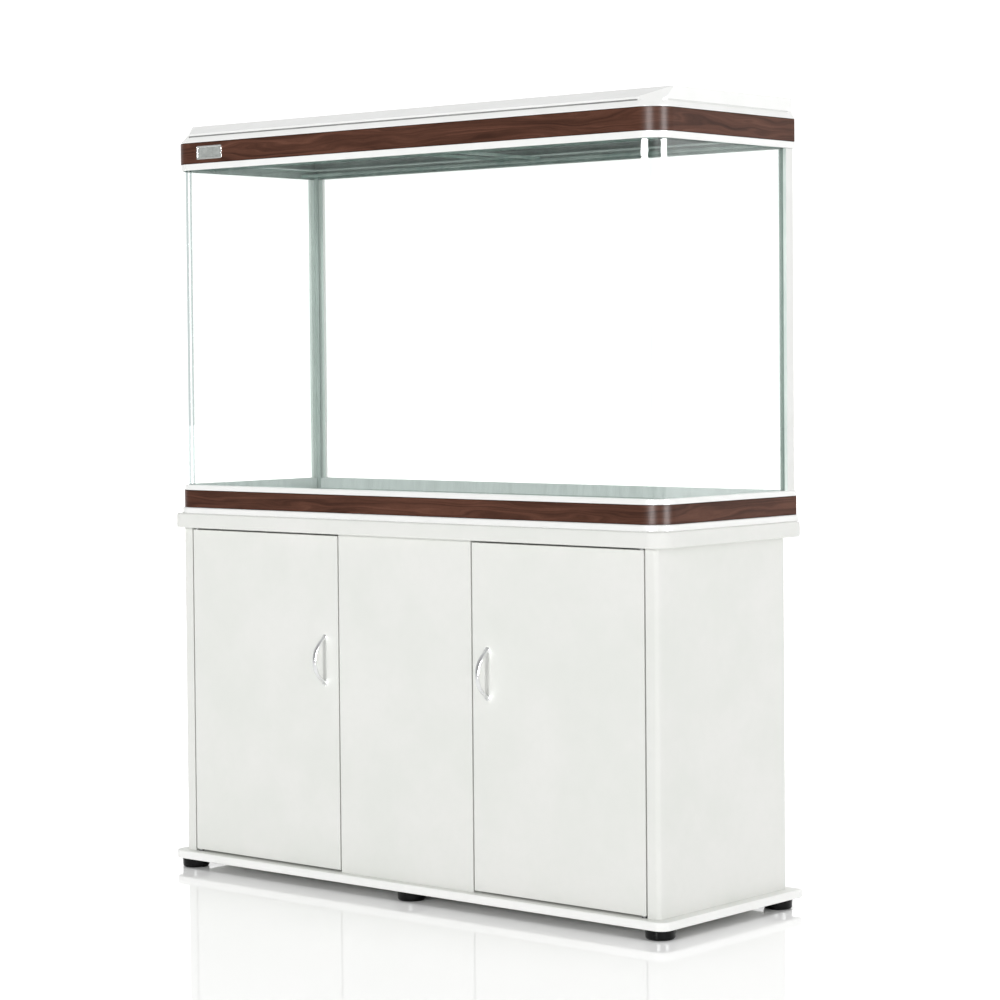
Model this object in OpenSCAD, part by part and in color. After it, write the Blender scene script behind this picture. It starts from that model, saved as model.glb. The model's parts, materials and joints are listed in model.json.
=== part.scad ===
// Aquarium with a lift-off hood on a two-door cabinet, drawn at its real size in millimetres.
// X runs along the front, Y runs from front to back and Z is up. The origin is on the floor,
// under the centre of the whole object.

/* [Tank] */
// Width over the wood bands
tank_w = 1200; // [1100:10:1300]
// Depth over the wood bands
tank_d = 404; // [390:1:450]
// Radius of the rounded front corners, on the wood bands
corner_r = 45; // [40:1:60]
// Thickness of the wall glass
glass_t = 8; // [6:1:10]
// Thickness of the bottom glass
bottom_t = 12; // [10:1:15]
// Height of the glass that shows between base frame and hood
glass_show = 614; // [500:1:700]
// Width of the white trim behind each rear corner
trim_w = 27; // [20:1:32]
// Width of the same trim on the side of the tank
trim_side_w = 22; // [16:1:30]

/* [Tank base frame] */
// Height of the plain lip below the wood band
lip_h = 12; // [8:1:16]
// How far the lip stands out past the wood band
lip_out = 5; // [2:1:7]
// Height of the lower wood band
low_band_h = 34; // [25:1:45]
// Height of the white rim above the lower wood band
low_rim_h = 10; // [6:1:14]

/* [Hood] */
// Height of the white rim below the upper wood band
hood_rim_h = 12; // [8:1:14]
// Height of the upper wood band
hood_band_h = 41; // [34:1:48]
// Height of the leaning shoulder above the upper wood band
shoulder_h = 11; // [8:1:14]
// Height of the shadow groove under the cover
groove_h = 2.5; // [2:0.5:3]
// Height of the cover above the groove
cover_h = 23.5; // [22:0.5:27]
// How far the cover is set in from the wood band
cover_in = 5; // [4:1:6]
// Wall of the moulded cover
cover_t = 3; // [2.5:0.5:3.5]
// Height of the upright edge under the front slope of the cover
slope_edge_h = 4; // [3:0.5:6]
// How far back the front slope of the cover runs
slope_d = 49; // [44:1:54]
// Length of the feeding lid
lid_w = 936; // [700:4:1000]
// Widest angle of the feeding lid
lid_open = 100; // [80:1:105]

/* [Lamp] */
// Length of a lamp tube
tube_len = 849; // [700:1:860]
// Diameter of a lamp tube
tube_d = 16; // [14:1:18]

/* [Cabinet] */
// Height of the panels between the base plate and the top plate
panel_h = 637; // [560:1:700]
// Overall width of the two side panels
cabinet_w = 1174; // [1160:1:1180]
// How far the cabinet front is set back from the wood band
cabinet_in = 8; // [4:1:10]
// How far the cabinet back is set in from the back of the tank
cabinet_back_in = 22; // [10:1:30]
// Thickness of a side panel
side_t = 26; // [22:1:28]
// Thickness of the doors, the base plate and the inner boards
board_t = 16; // [15:1:18]
// Thickness of the top plate
top_t = 28; // [24:1:30]
// Thickness of the back panel
back_t = 9; // [6:1:12]
// How far the top plate stands out past the wood band
top_out = 8; // [8:1:10]
// Radius of the top plate's front corners
top_corner_r = 34; // [26:1:50]
// How far the base plate stands out past the wood band
base_out = 9; // [8:1:12]
// Radius of the base plate's front corners
base_corner_r = 22; // [18:1:30]
// Rounding of the outer front edge of a side panel
side_edge_r = 9; // [6:1:12]

/* [Doors] */
// Width of the fixed centre panel
centre_w = 329; // [300:1:360]
// Gap between the panels on the front
front_gap = 3; // [2:0.5:3]
// Gap above and below a door
door_gap = 4; // [4:0.5:5]
// Widest angle of a door
door_open = 105; // [90:1:105]
// Centre of a handle above the floor
handle_z = 432; // [380:1:480]
// Distance between the screws of a handle
handle_pitch = 86; // [80:1:96]
// How far a handle stands out from its door
handle_reach = 30; // [28:1:34]

/* [Feet] */
// Height of a foot
foot_h = 18; // [16:1:24]
// Diameter of a foot
foot_d = 53; // [45:1:60]
// Distance from a foot's centre to the edge of the base plate
foot_in = 32; // [31:1:40]

/* [Hidden] */
$fn = 64;

// colours
satin_white = [0.93, 0.935, 0.92];
panel_white = [0.90, 0.905, 0.88];
walnut = [0.30, 0.19, 0.15];
glass_tint = [0.74, 0.86, 0.82, 0.35];
metal = [0.78, 0.79, 0.80];
black = [0.03, 0.03, 0.03];

// a hair of overlap, so that a cut runs right through
cut = 1;

// depth: the back of the tank and the outermost point of the handles are equally far from Y = 0
back_y = (tank_d - cabinet_in + handle_reach) / 2;
front_y = back_y - tank_d;

// cabinet heights and faces
base_top = foot_h + board_t;
panel_top = base_top + panel_h;
top_top = panel_top + top_t;
side_x = cabinet_w / 2;
inner_x = side_x - side_t;
face_y = front_y + cabinet_in;
door_back_y = face_y + board_t;
cab_back_y = back_y - cabinet_back_in;
back_panel_y = cab_back_y - back_t;
stop_gap = 0.3;

// doors: the free edge meets the centre panel, the hinged edge the side panel
door_in_x = centre_w / 2 + front_gap;
door_out_x = inner_x - front_gap;
door_bottom = base_top + door_gap;
door_top = panel_top - door_gap;
part_x0 = centre_w / 2 - 6.5;
part_x1 = part_x0 + board_t;

// concealed pivots at the hinged edge of each door
pivot_x = door_out_x - 7;
pivot_y = face_y + 5;
pivot_r = 3;
pivot_play = 0.05;
pivot_in_door = 12;
pivot_in_board = 10;
bush_r = 4.8;
collar_t = 1.2;

// handles
handle_x = door_in_x + 35;
bar_t = 5;
bar_w = 9;
foot_r = 4.8;
bow_drop = handle_reach - bar_t / 2 - 3;
bow_r = (pow(handle_pitch / 2, 2) + pow(bow_drop, 2)) / (2 * bow_drop);
bow_half = asin(handle_pitch / 2 / bow_r);
handle_screw_r = 2;

// fasteners in the cabinet
panel_xs = [-side_x + side_t / 2, -(part_x0 + part_x1) / 2, (part_x0 + part_x1) / 2, side_x - side_t / 2];
joint_ys = [-120, 120];
screw_r = 2.5;
screw_head_r = 5;
screw_head_h = 3.5;
screw_len = 50;
dowel_r = 4;
dowel_half = 15;
foot_screw_r = 2.2;
foot_screw_head_r = 5.5;
foot_recess = 6;
shelf_z = 330;
shelf_y0 = -140;
shelf_pin_r = 2.5;
hose_w = 120;
hose_h = 80;
hose_z = 550;
hose_xs = [-370, 0, 370];
catch_z = 600;
catch_h = 36;
catch_d = 40;

// feet: three along the front and three along the back
foot_x = tank_w / 2 + base_out - foot_in;
foot_ys = [front_y - base_out + foot_in, back_y - foot_in];
foot_places = [for (x = [-foot_x, 0, foot_x], y = foot_ys) [x, y]];

// tank heights; every "in" is measured from the face of the wood bands
lip_top = top_top + lip_h;
low_band_top = lip_top + low_band_h;
low_rim_top = low_band_top + low_rim_h;
band_t = 2;
glass_in = 9;
glass_inner = glass_in + glass_t;
glass_z0 = top_top + 17;
bottom_top = glass_z0 + bottom_t;
hood_z = low_rim_top + glass_show;
glass_top = hood_z + 16;
frame_ledge_in = 45;
bead = 6;
trim_t = 7;
trim_in = glass_in - trim_t;
brace_w = 50;
brace_t = 6;
brace_z = hood_z + 1;

// hood heights
hood_band_z = hood_z + hood_rim_h;
hood_band_top = hood_band_z + hood_band_h;
shoulder_top = hood_band_top + shoulder_h;
cover_z = shoulder_top + groove_h;
cover_top = cover_z + cover_h;
rim_wall = 4.5;
shoulder_wall = 9;
ledge_z = glass_top + 0.3;
ledge_t = 3;
ledge_in = 30;
plate_w = 69;
plate_h = 26;
plate_t = 1.5;
plate_x = -492;
slope_y = front_y + cover_in + slope_d;
slope_angle = atan((cover_h - slope_edge_h) / slope_d);

// corner facets of the hood: each runs through the point where the slope, the side and the top meet
facet_point = [tank_w / 2 - cover_in, slope_y, cover_top];
facet_lean = 52;
facet_turn = -54;

// the groove stops short of the facets and of the back
groove_end_x = tank_w / 2 - 46;
groove_end_y = front_y + 38;
groove_stop = 14;

// screws that hold the cover down
boss_r = 5;
cover_screw_r = 1.6;
tab_t = 3;
cover_screw_places = [for (x = [-530, 0, 530], y = [front_y + 19, back_y - 14]) [x, y]];

// feeding lid
lid_t = 2.8;
lid_y0 = front_y + 66;
lid_y1 = lid_y0 + 154.5;
lid_edge = 2;
rest_w = 8;
rest_h = 6;
hinge_y = lid_y1 + 5;
hinge_z = cover_top - 3.4;
knuckle_r = 3.2;
pin_r = 1.5;
lid_play = 0.06;
station_xs = [-lid_w * 0.35, 0, lid_w * 0.35];
lid_knuckle = 30;
ear_w = 15;
ear_gap = 0.5;
station_w = lid_knuckle + 2 * (ear_w + ear_gap) + 2;
notch_w = 90;
notch_d = 9;

// lamp
lamp_x = tube_len / 2 + 20;
lamp_y0 = lid_y1 + 32;
lamp_d = 90;
lamp_z = glass_top + 9;
lamp_h = 36;
lamp_wall = 2;
tube_ys = [lamp_y0 + 25, lamp_y0 + 65];
tube_z = lamp_z + 15;
holder_r = 11;
cap_depth = 4;
bracket_xs = [-300, 300];
gland_x = 420;
gland_z = hood_band_z + 28;
gland_r = 8;

// ---------- shared shapes ----------

// The outline seen from above: rounded front corners and square rear corners.
// grow moves the front and the sides out, rear moves the back.
module plan(grow = 0, rear = 0, r = corner_r) {
    w = tank_w + 2 * grow;
    rr = r + grow;
    y0 = front_y - grow;
    y1 = back_y + rear;
    translate([-w / 2 + rr, y0]) square([w - 2 * rr, y1 - y0]);
    translate([-w / 2, y0 + rr]) square([w, y1 - y0 - rr]);
    for (s = [-1, 1]) translate([s * (w / 2 - rr), y0 + rr]) circle(rr);
}

module slab(z0, z1) {
    translate([0, 0, z0]) linear_extrude(z1 - z0) children();
}

// Runs a profile along the front, round both front corners and along both sides. In the profile
// x is the distance out from the face of the wood bands and y is the height.
module run_round(trim = 0) {
    run_x = tank_w - 2 * corner_r;
    run_y = tank_d - corner_r - trim;
    translate([-run_x / 2, front_y, 0]) rotate([90, 0, 90]) linear_extrude(run_x) mirror([1, 0]) children();
    for (m = [0, 1]) mirror([m, 0, 0]) {
        translate([tank_w / 2, back_y - trim, 0]) rotate([90, 0, 0]) linear_extrude(run_y) children();
        translate([tank_w / 2 - corner_r, front_y + corner_r, 0])
            rotate([0, 0, -90]) rotate_extrude(angle = 90) translate([corner_r, 0]) children();
    }
}

// A box from its lowest corner to its highest corner.
module block(a, b) {
    translate(a) cube(b - a);
}

// A round bar along Y from one depth to another.
module bar_y(x, z, y0, y1, r) {
    translate([x, y1, z]) rotate([90, 0, 0]) cylinder(h = y1 - y0, r = r);
}

// A round bar along X from one side to another.
module bar_x(y, z, x0, x1, r) {
    translate([x0, y, z]) rotate([0, 90, 0]) cylinder(h = x1 - x0, r = r);
}

// Its children on the right and mirrored on the left.
module both_sides() {
    for (m = [0, 1]) mirror([m, 0, 0]) children();
}

// ---------- cabinet ----------

module base_screw_set(grow = 0) {
    for (x = panel_xs, y = joint_ys) translate([x, y, foot_h]) {
        cylinder(h = screw_head_h + grow, r = screw_head_r + grow);
        cylinder(h = screw_len, r = screw_r);
    }
}

module dowel_set() {
    for (x = panel_xs, y = joint_ys)
        translate([x, y, panel_top - dowel_half]) cylinder(h = 2 * dowel_half, r = dowel_r);
}

module base_plate() color(satin_white) difference() {
    slab(foot_h, base_top) plan(base_out, 0, base_corner_r - base_out);
    base_screw_set();
    both_sides() translate([pivot_x, pivot_y, base_top - pivot_in_board]) cylinder(h = pivot_in_board + cut, r = bush_r);
    for (p = foot_places) translate([p[0], p[1], foot_h - cut]) cylinder(h = 12 + cut, r = foot_screw_r);
}

module feet() color(black) for (p = foot_places) translate([p[0], p[1], 0]) {
    edge = 5;
    difference() {
        rotate_extrude() {
            square([foot_d / 2 - edge, foot_h]);
            translate([0, edge]) square([foot_d / 2, foot_h - edge]);
            translate([foot_d / 2 - edge, edge]) circle(edge);
        }
        translate([0, 0, -cut]) cylinder(h = foot_recess + cut, r = foot_screw_head_r + 3);
        cylinder(h = foot_h + cut, r = foot_screw_r);
    }
}

module foot_screws() color(metal) for (p = foot_places) translate([p[0], p[1], foot_recess - 3.5]) {
    cylinder(h = 3.5, r = foot_screw_head_r);
    cylinder(h = foot_h + 12 - foot_recess + 3.5, r = foot_screw_r);
}

module base_screws() color(metal) base_screw_set();

// The right side panel; the left one is its mirror image.
module side_panel() difference() {
    slab(base_top, panel_top) {
        translate([inner_x, face_y]) square([side_t - side_edge_r, cab_back_y - face_y]);
        translate([inner_x, face_y + side_edge_r]) square([side_t, cab_back_y - face_y - side_edge_r]);
        translate([side_x - side_edge_r, face_y + side_edge_r]) circle(side_edge_r);
    }
    base_screw_set();
    dowel_set();
}

module left_side() color(panel_white) difference() {
    mirror([1, 0, 0]) side_panel();
    shelf_pins_set();
}

module right_side() color(panel_white) side_panel();

// The right partition, notched at the back for hoses; the left one is its mirror image.
module partition() difference() {
    block([part_x0, door_back_y + stop_gap, base_top], [part_x1, back_panel_y, panel_top]);
    block([part_x0 - cut, back_panel_y - 80, hose_z], [part_x1 + cut, back_panel_y + cut, hose_z + hose_h]);
    base_screw_set();
    dowel_set();
    back_screw_set();
}

module left_partition() color(panel_white) difference() {
    mirror([1, 0, 0]) partition();
    shelf_pins_set();
}

module right_partition() color(panel_white) partition();

module back_screw_set() {
    for (s = [-1, 1], z = [base_top + 90, base_top + panel_h / 2, panel_top - 30])
        bar_y(s * (part_x0 + part_x1) / 2, z, back_panel_y - 22, cab_back_y, 1.8);
}

module back_panel() color(panel_white) difference() {
    block([-inner_x, back_panel_y, base_top], [inner_x, cab_back_y, panel_top]);
    for (x = hose_xs)
        block([x - hose_w / 2, back_panel_y - cut, hose_z], [x + hose_w / 2, cab_back_y + cut, hose_z + hose_h]);
    back_screw_set();
}

module back_screws() color(metal) back_screw_set();

module centre_panel() color(panel_white)
    block([-centre_w / 2, face_y, base_top], [centre_w / 2, door_back_y + stop_gap, panel_top]);

module left_shelf() color(panel_white)
    block([-inner_x + 0.5, shelf_y0, shelf_z], [-part_x1 - 0.5, back_panel_y - 2, shelf_z + board_t]);

module shelf_pins_set() {
    for (y = [shelf_y0 + 30, back_panel_y - 40]) {
        bar_x(y, shelf_z - shelf_pin_r, -inner_x - 8, -inner_x + 8, shelf_pin_r);
        bar_x(y, shelf_z - shelf_pin_r, -part_x1 - 8, -part_x1 + 8, shelf_pin_r);
    }
}

module shelf_pins() color(metal) shelf_pins_set();

module top_dowels() color("burlywood") dowel_set();

module top_plate() color(satin_white) difference() {
    slab(panel_top, top_top) plan(top_out, 0, top_corner_r - top_out);
    dowel_set();
    both_sides() translate([pivot_x, pivot_y, panel_top - cut]) cylinder(h = pivot_in_board + cut, r = bush_r);
}

module pivot_bushes() color(metal) both_sides() translate([pivot_x, pivot_y, 0]) {
    difference() {
        union() {
            translate([0, 0, panel_top - collar_t]) cylinder(h = pivot_in_board + collar_t, r = bush_r);
            translate([0, 0, base_top - pivot_in_board]) cylinder(h = pivot_in_board + collar_t, r = bush_r);
        }
        cylinder(h = top_top, r = pivot_r + pivot_play);
    }
}

module magnet_catches() color("gainsboro") both_sides()
    block([part_x1, door_back_y + 1.2, catch_z], [part_x1 + 16, door_back_y + 1.2 + catch_d, catch_z + catch_h]);

// ---------- doors ----------

// The right door; the left one is its mirror image.
module door_board() difference() {
    block([door_in_x, face_y, door_bottom], [door_out_x, door_back_y, door_top]);
    for (s = [-1, 1])
        bar_y(handle_x, handle_z + s * handle_pitch / 2, face_y - cut, door_back_y + cut, handle_screw_r);
    translate([pivot_x, pivot_y, door_bottom - cut]) cylinder(h = pivot_in_door + cut, r = pivot_r);
    translate([pivot_x, pivot_y, door_top - pivot_in_door]) cylinder(h = pivot_in_door + cut, r = pivot_r);
}

module right_door() color(panel_white) door_board();

module left_door() color(panel_white) mirror([1, 0, 0]) door_board();

module bow_handle() difference() {
    translate([handle_x, 0, handle_z]) {
        translate([0, face_y - handle_reach + bar_t / 2 + bow_r, 0]) rotate([0, 90, 0])
            rotate([0, 0, -90 - bow_half]) rotate_extrude(angle = 2 * bow_half) translate([bow_r, 0]) {
                square([bar_t, bar_w - bar_t], center = true);
                for (s = [-1, 1]) translate([0, s * (bar_w - bar_t) / 2]) circle(bar_t / 2);
            }
        for (s = [-1, 1]) bar_y(0, s * handle_pitch / 2, face_y - 7, face_y, foot_r);
    }
    for (s = [-1, 1])
        bar_y(handle_x, handle_z + s * handle_pitch / 2, face_y - 6, face_y + cut, handle_screw_r);
    block([handle_x - 20, face_y, handle_z - 80], [handle_x + 20, face_y + 20, handle_z + 80]);
}

module right_handle() color(metal) bow_handle();

module left_handle() color(metal) mirror([1, 0, 0]) bow_handle();

module handle_screw_set() for (s = [-1, 1]) {
    bar_y(handle_x, handle_z + s * handle_pitch / 2, face_y - 6, door_back_y, handle_screw_r);
    bar_y(handle_x, handle_z + s * handle_pitch / 2, door_back_y, door_back_y + 2.5, 4.5);
}

module right_handle_screws() color(metal) handle_screw_set();

module left_handle_screws() color(metal) mirror([1, 0, 0]) handle_screw_set();

module pivot_set() translate([pivot_x, pivot_y, 0]) {
    translate([0, 0, door_bottom - door_gap - pivot_in_board + 1])
        cylinder(h = pivot_in_board - 1 + door_gap + pivot_in_door, r = pivot_r);
    translate([0, 0, door_top - pivot_in_door])
        cylinder(h = pivot_in_board - 1 + door_gap + pivot_in_door, r = pivot_r);
    translate([0, 0, door_bottom - collar_t]) cylinder(h = collar_t, r = bush_r);
    translate([0, 0, door_top]) cylinder(h = collar_t, r = bush_r);
}

module right_door_pivots() color(metal) pivot_set();

module left_door_pivots() color(metal) mirror([1, 0, 0]) pivot_set();

module strike_plate()
    block([part_x1 + 2, door_back_y, catch_z + 4], [part_x1 + 14, door_back_y + 1, catch_z + catch_h - 4]);

module right_strike() color(metal) strike_plate();

module left_strike() color(metal) mirror([1, 0, 0]) strike_plate();

// ---------- tank ----------

module tank_base_frame() color(satin_white) difference() {
    union() {
        slab(top_top, lip_top) plan(lip_out);
        slab(lip_top, low_band_top) plan(-band_t);
        slab(low_band_top, low_rim_top) plan(0);
    }
    slab(glass_z0, low_rim_top + cut) plan(-glass_in, -glass_in);
    slab(top_top - cut, low_rim_top) plan(-frame_ledge_in, -frame_ledge_in, corner_r + 10);
}

module base_wood_band() color(walnut) run_round() translate([-band_t, lip_top]) square([band_t, low_band_h]);

module bent_front_glass() color(glass_tint) run_round(glass_in)
    translate([-glass_inner, glass_z0]) square([glass_t, glass_top - glass_z0]);

module rear_glass() color(glass_tint) {
    x = tank_w / 2 - glass_inner;
    block([-x, back_y - glass_inner, glass_z0], [x, back_y - glass_in, glass_top]);
}

module bottom_glass() color(glass_tint) slab(glass_z0, bottom_top) plan(-glass_inner, -glass_inner);

module silicone_seams() color([0.8, 0.85, 0.83]) {
    x = tank_w / 2 - glass_inner;
    y = back_y - glass_inner;
    run_round(glass_inner)
        polygon([[-glass_inner, bottom_top], [-glass_inner, bottom_top + bead], [-glass_inner - bead, bottom_top]]);
    translate([-x, y, 0]) rotate([90, 0, 90]) linear_extrude(2 * x)
        polygon([[0, bottom_top], [0, bottom_top + bead], [-bead, bottom_top]]);
    slab(bottom_top, brace_z + 4) both_sides() polygon([[x, y], [x - bead, y], [x, y - bead]]);
}

module front_brace() color(glass_tint) {
    x = tank_w / 2 - corner_r - 5;
    y = front_y + glass_inner;
    block([-x, y, brace_z], [x, y + brace_w, brace_z + brace_t]);
}

module rear_brace() color(glass_tint) {
    x = tank_w / 2 - glass_inner - bead - 2;
    y = back_y - glass_inner;
    block([-x, y - brace_w, brace_z], [x, y, brace_z + brace_t]);
}

module cross_brace() color(glass_tint) {
    z = brace_z + brace_t;
    block([-40, front_y + glass_inner + 24, z], [40, back_y - glass_inner - 24, z + brace_t]);
}

module corner_trim() slab(low_rim_top, hood_z - 0.5) {
    x = tank_w / 2 - trim_in;
    y = back_y - trim_in;
    translate([x - trim_t, y - trim_side_w]) square([trim_t, trim_side_w]);
    translate([x - trim_w, y - trim_t]) square([trim_w, trim_t]);
}

module right_corner_trim() color(satin_white) corner_trim();

module left_corner_trim() color(satin_white) mirror([1, 0, 0]) corner_trim();

// ---------- hood ----------

module hood_frame() color(satin_white) difference() {
    union() {
        difference() {
            union() {
                slab(hood_z, hood_band_z) plan(0);
                slab(hood_band_z, hood_band_top) plan(-band_t);
                slab(hood_band_top, shoulder_top) plan(-cover_in);
                run_round() polygon([
                    [-cover_in, hood_band_top], [0, hood_band_top], [0, hood_band_top + 2],
                    [-cover_in, shoulder_top]
                ]);
            }
            slab(hood_z - cut, ledge_z) plan(-rim_wall, -rim_wall);
            slab(ledge_z - cut, ledge_z + ledge_t + cut) plan(-ledge_in, -ledge_in, corner_r + 5);
            slab(ledge_z + ledge_t, hood_band_top) plan(-rim_wall, -rim_wall);
            slab(hood_band_top - cut, shoulder_top + cut) plan(-shoulder_wall, -shoulder_wall, corner_r + 14);
            corner_facets();
        }
        for (p = cover_screw_places) {
            wall_y = p[1] < 0 ? front_y + 6 : back_y - 6;
            block([p[0] - 8, min(p[1] - 7, wall_y), shoulder_top - tab_t],
                  [p[0] + 8, max(p[1] + 7, wall_y), shoulder_top]);
        }
    }
    for (p = cover_screw_places) translate([p[0], p[1], shoulder_top - 10]) cylinder(h = 20, r = cover_screw_r);
    bar_y(gland_x, gland_z, back_y - 10, back_y + cut, gland_r);
}

module hood_wood_band() color(walnut) run_round() translate([-band_t, hood_band_z]) square([band_t, hood_band_h]);

module hood_nameplate() color("silver") {
    z = hood_band_z + hood_band_h / 2 - plate_h / 2;
    r = 3;
    translate([plate_x - plate_w / 2, front_y, z]) rotate([90, 0, 0]) linear_extrude(plate_t) {
        translate([r, 0]) square([plate_w - 2 * r, plate_h]);
        translate([0, r]) square([plate_w, plate_h - 2 * r]);
        for (x = [r, plate_w - r], y = [r, plate_h - r]) translate([x, y]) circle(r);
    }
}

// The full body of the cover, moved in by t all round: upright sides, a front slope and a
// slanted facet on each front corner.
module cover_body(t, z0) difference() {
    slab(z0, cover_top - t) plan(-cover_in - t, -t);
    translate([-tank_w / 2 - cut, slope_y, cover_top]) rotate([slope_angle, 0, 0])
        translate([0, -2 * slope_d, -t]) cube([tank_w + 2 * cut, 3 * slope_d, 40]);
    corner_facets(t);
}

// What is cut off the front corners of the hood, moved in by t.
module corner_facets(t = 0) {
    both_sides() translate(facet_point) rotate([0, facet_lean, facet_turn])
        translate([-100, -100, -t]) cube([200, 200, 60]);
}

// Where the groove is filled: at both front corners and at the back.
module groove_stops() {
    both_sides() translate([groove_end_x, front_y]) square([tank_w / 2 - groove_end_x, groove_end_y - front_y]);
    translate([-tank_w / 2, back_y - groove_stop]) square([tank_w, groove_stop]);
}

module lid_opening(w, y0, y1, z0, z1) {
    block([-w / 2, y0, z0], [w / 2, y1, z1]);
}

module hood_cover() color(satin_white) difference() {
    union() {
        difference() {
            union() {
                cover_body(0, cover_z);
                slab(shoulder_top, cover_z) {
                    plan(-cover_in - groove_h, 0);
                    intersection() {
                        plan(-cover_in, 0);
                        groove_stops();
                    }
                }
            }
            cover_body(cover_t, cover_z);
            slab(shoulder_top - cut, cover_z + cut) plan(-cover_in - groove_h - cover_t, -cover_t, corner_r + 22);
            corner_facets();
        }
        lid_opening(lid_w + 2 * lid_edge + 2 * rest_w, lid_y0 - lid_edge - rest_w, hinge_y + rest_w,
                    cover_top - cover_t - rest_h, cover_top - cover_t);
        intersection() {
            for (p = cover_screw_places) translate([p[0], p[1], shoulder_top]) cylinder(h = 40, r = boss_r);
            cover_body(cover_t - 1, shoulder_top);
        }
        hinge_ears();
    }
    difference() {
        union() {
            lid_opening(lid_w + 2 * lid_edge, lid_y0 - lid_edge, lid_y1 + lid_edge,
                        cover_top - cover_t, cover_top + cut);
            lid_opening(lid_w - 2 * rest_w, lid_y0 + rest_w, lid_y1 - rest_w / 2, cover_top - 20, cover_top + cut);
            for (x = station_xs)
                block([x - station_w / 2, lid_y1 - 8, cover_top - 20],
                      [x + station_w / 2, hinge_y + 4.5, cover_top + cut]);
        }
        hinge_ears();
    }
    for (x = station_xs)
        bar_x(hinge_y, hinge_z, x - station_w / 2, x + station_w / 2, pin_r);
    for (p = cover_screw_places) translate([p[0], p[1], shoulder_top - cut]) cylinder(h = 8 + cut, r = cover_screw_r);
}

// The fixed ears of the lid's hinges, two at each station.
module hinge_ears() {
    for (x = station_xs, s = [-1, 1]) {
        x0 = x + s * (lid_knuckle / 2 + ear_gap + ear_w / 2) - ear_w / 2;
        bar_x(hinge_y, hinge_z, x0, x0 + ear_w, knuckle_r);
        block([x0, hinge_y, hinge_z - knuckle_r - 3], [x0 + ear_w, hinge_y + 6, hinge_z]);
    }
}

module feeding_lid() color(satin_white) difference() {
    union() {
        block([-lid_w / 2, lid_y0, cover_top - lid_t], [lid_w / 2, lid_y1, cover_top]);
        for (x = station_xs) {
            bar_x(hinge_y, hinge_z, x - lid_knuckle / 2, x + lid_knuckle / 2, knuckle_r);
            block([x - lid_knuckle / 2, lid_y1 - 1, hinge_z + 0.6], [x + lid_knuckle / 2, hinge_y, hinge_z + knuckle_r]);
        }
    }
    block([-notch_w / 2, lid_y0 - cut, cover_top - 10], [notch_w / 2, lid_y0 + notch_d, cover_top + cut]);
    for (x = station_xs)
        bar_x(hinge_y, hinge_z, x - lid_knuckle / 2 - cut, x + lid_knuckle / 2 + cut, pin_r + lid_play);
}

module lid_hinge_pins() color(metal) for (x = station_xs)
    bar_x(hinge_y, hinge_z, x - station_w / 2 + 1, x + station_w / 2 - 1, pin_r);

module cover_screws() color(metal) for (p = cover_screw_places) translate([p[0], p[1], 0]) {
    translate([0, 0, shoulder_top - tab_t - 2.4]) cylinder(h = 2.4, r = 3.2);
    translate([0, 0, shoulder_top - tab_t]) cylinder(h = tab_t + 8, r = cover_screw_r);
}

// ---------- lamp ----------

module lamp_brackets() color(metal) for (x = bracket_xs)
    block([x - 12, lamp_y0 + 10, lamp_z + lamp_h], [x + 12, lamp_y0 + lamp_d - 10, cover_top - cover_t]);

module lamp_housing() color(satin_white) difference() {
    block([-lamp_x, lamp_y0, lamp_z], [lamp_x, lamp_y0 + lamp_d, lamp_z + lamp_h]);
    block([-lamp_x + lamp_wall, lamp_y0 + lamp_wall, lamp_z - cut],
          [lamp_x - lamp_wall, lamp_y0 + lamp_d - lamp_wall, lamp_z + lamp_h - lamp_wall]);
}

// A bent sheet above the tubes.
module lamp_reflector() color("white") {
    w = lamp_d - 2 * lamp_wall;
    x = tube_len / 2 - cap_depth - 5;
    translate([-x, lamp_y0 + lamp_wall, lamp_z]) rotate([90, 0, 90]) linear_extrude(2 * x) polygon([
        [0, 6], [1, 6], [14, 30], [w / 2 - 8, 30], [w / 2, 26], [w / 2 + 8, 30], [w - 14, 30], [w - 1, 6],
        [w, 6], [w, 8], [w - 13, 31], [w / 2 + 8, 31], [w / 2, 27], [w / 2 - 8, 31], [13, 31], [0, 8]
    ]);
}

module lamp_tubes() color("white") for (y = tube_ys) bar_x(y, tube_z, -tube_len / 2, tube_len / 2, tube_d / 2);

module lamp_holders() color("dimgray") for (y = tube_ys) both_sides() difference() {
    bar_x(y, tube_z, tube_len / 2 - cap_depth, lamp_x - lamp_wall, holder_r);
    bar_x(y, tube_z, tube_len / 2 - cap_depth - cut, tube_len / 2, tube_d / 2);
}

module lamp_cover() color([0.9, 0.95, 0.95, 0.4])
    block([-lamp_x + lamp_wall, lamp_y0 + lamp_wall, lamp_z], [lamp_x - lamp_wall, lamp_y0 + lamp_d - lamp_wall, lamp_z + 2]);

module lamp_ballast() color("gainsboro")
    block([-110, lamp_y0 + 22, lamp_z + lamp_h], [110, lamp_y0 + lamp_d - 22, lamp_z + lamp_h + 20]);

module cable_gland() color("dimgray") difference() {
    union() {
        bar_y(gland_x, gland_z, back_y - 16, back_y, gland_r);
        bar_y(gland_x, gland_z, back_y - rim_wall - 3.5, back_y - rim_wall, gland_r + 3);
    }
    bar_y(gland_x, gland_z, back_y - 20, back_y + cut, 3.5);
}

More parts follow.
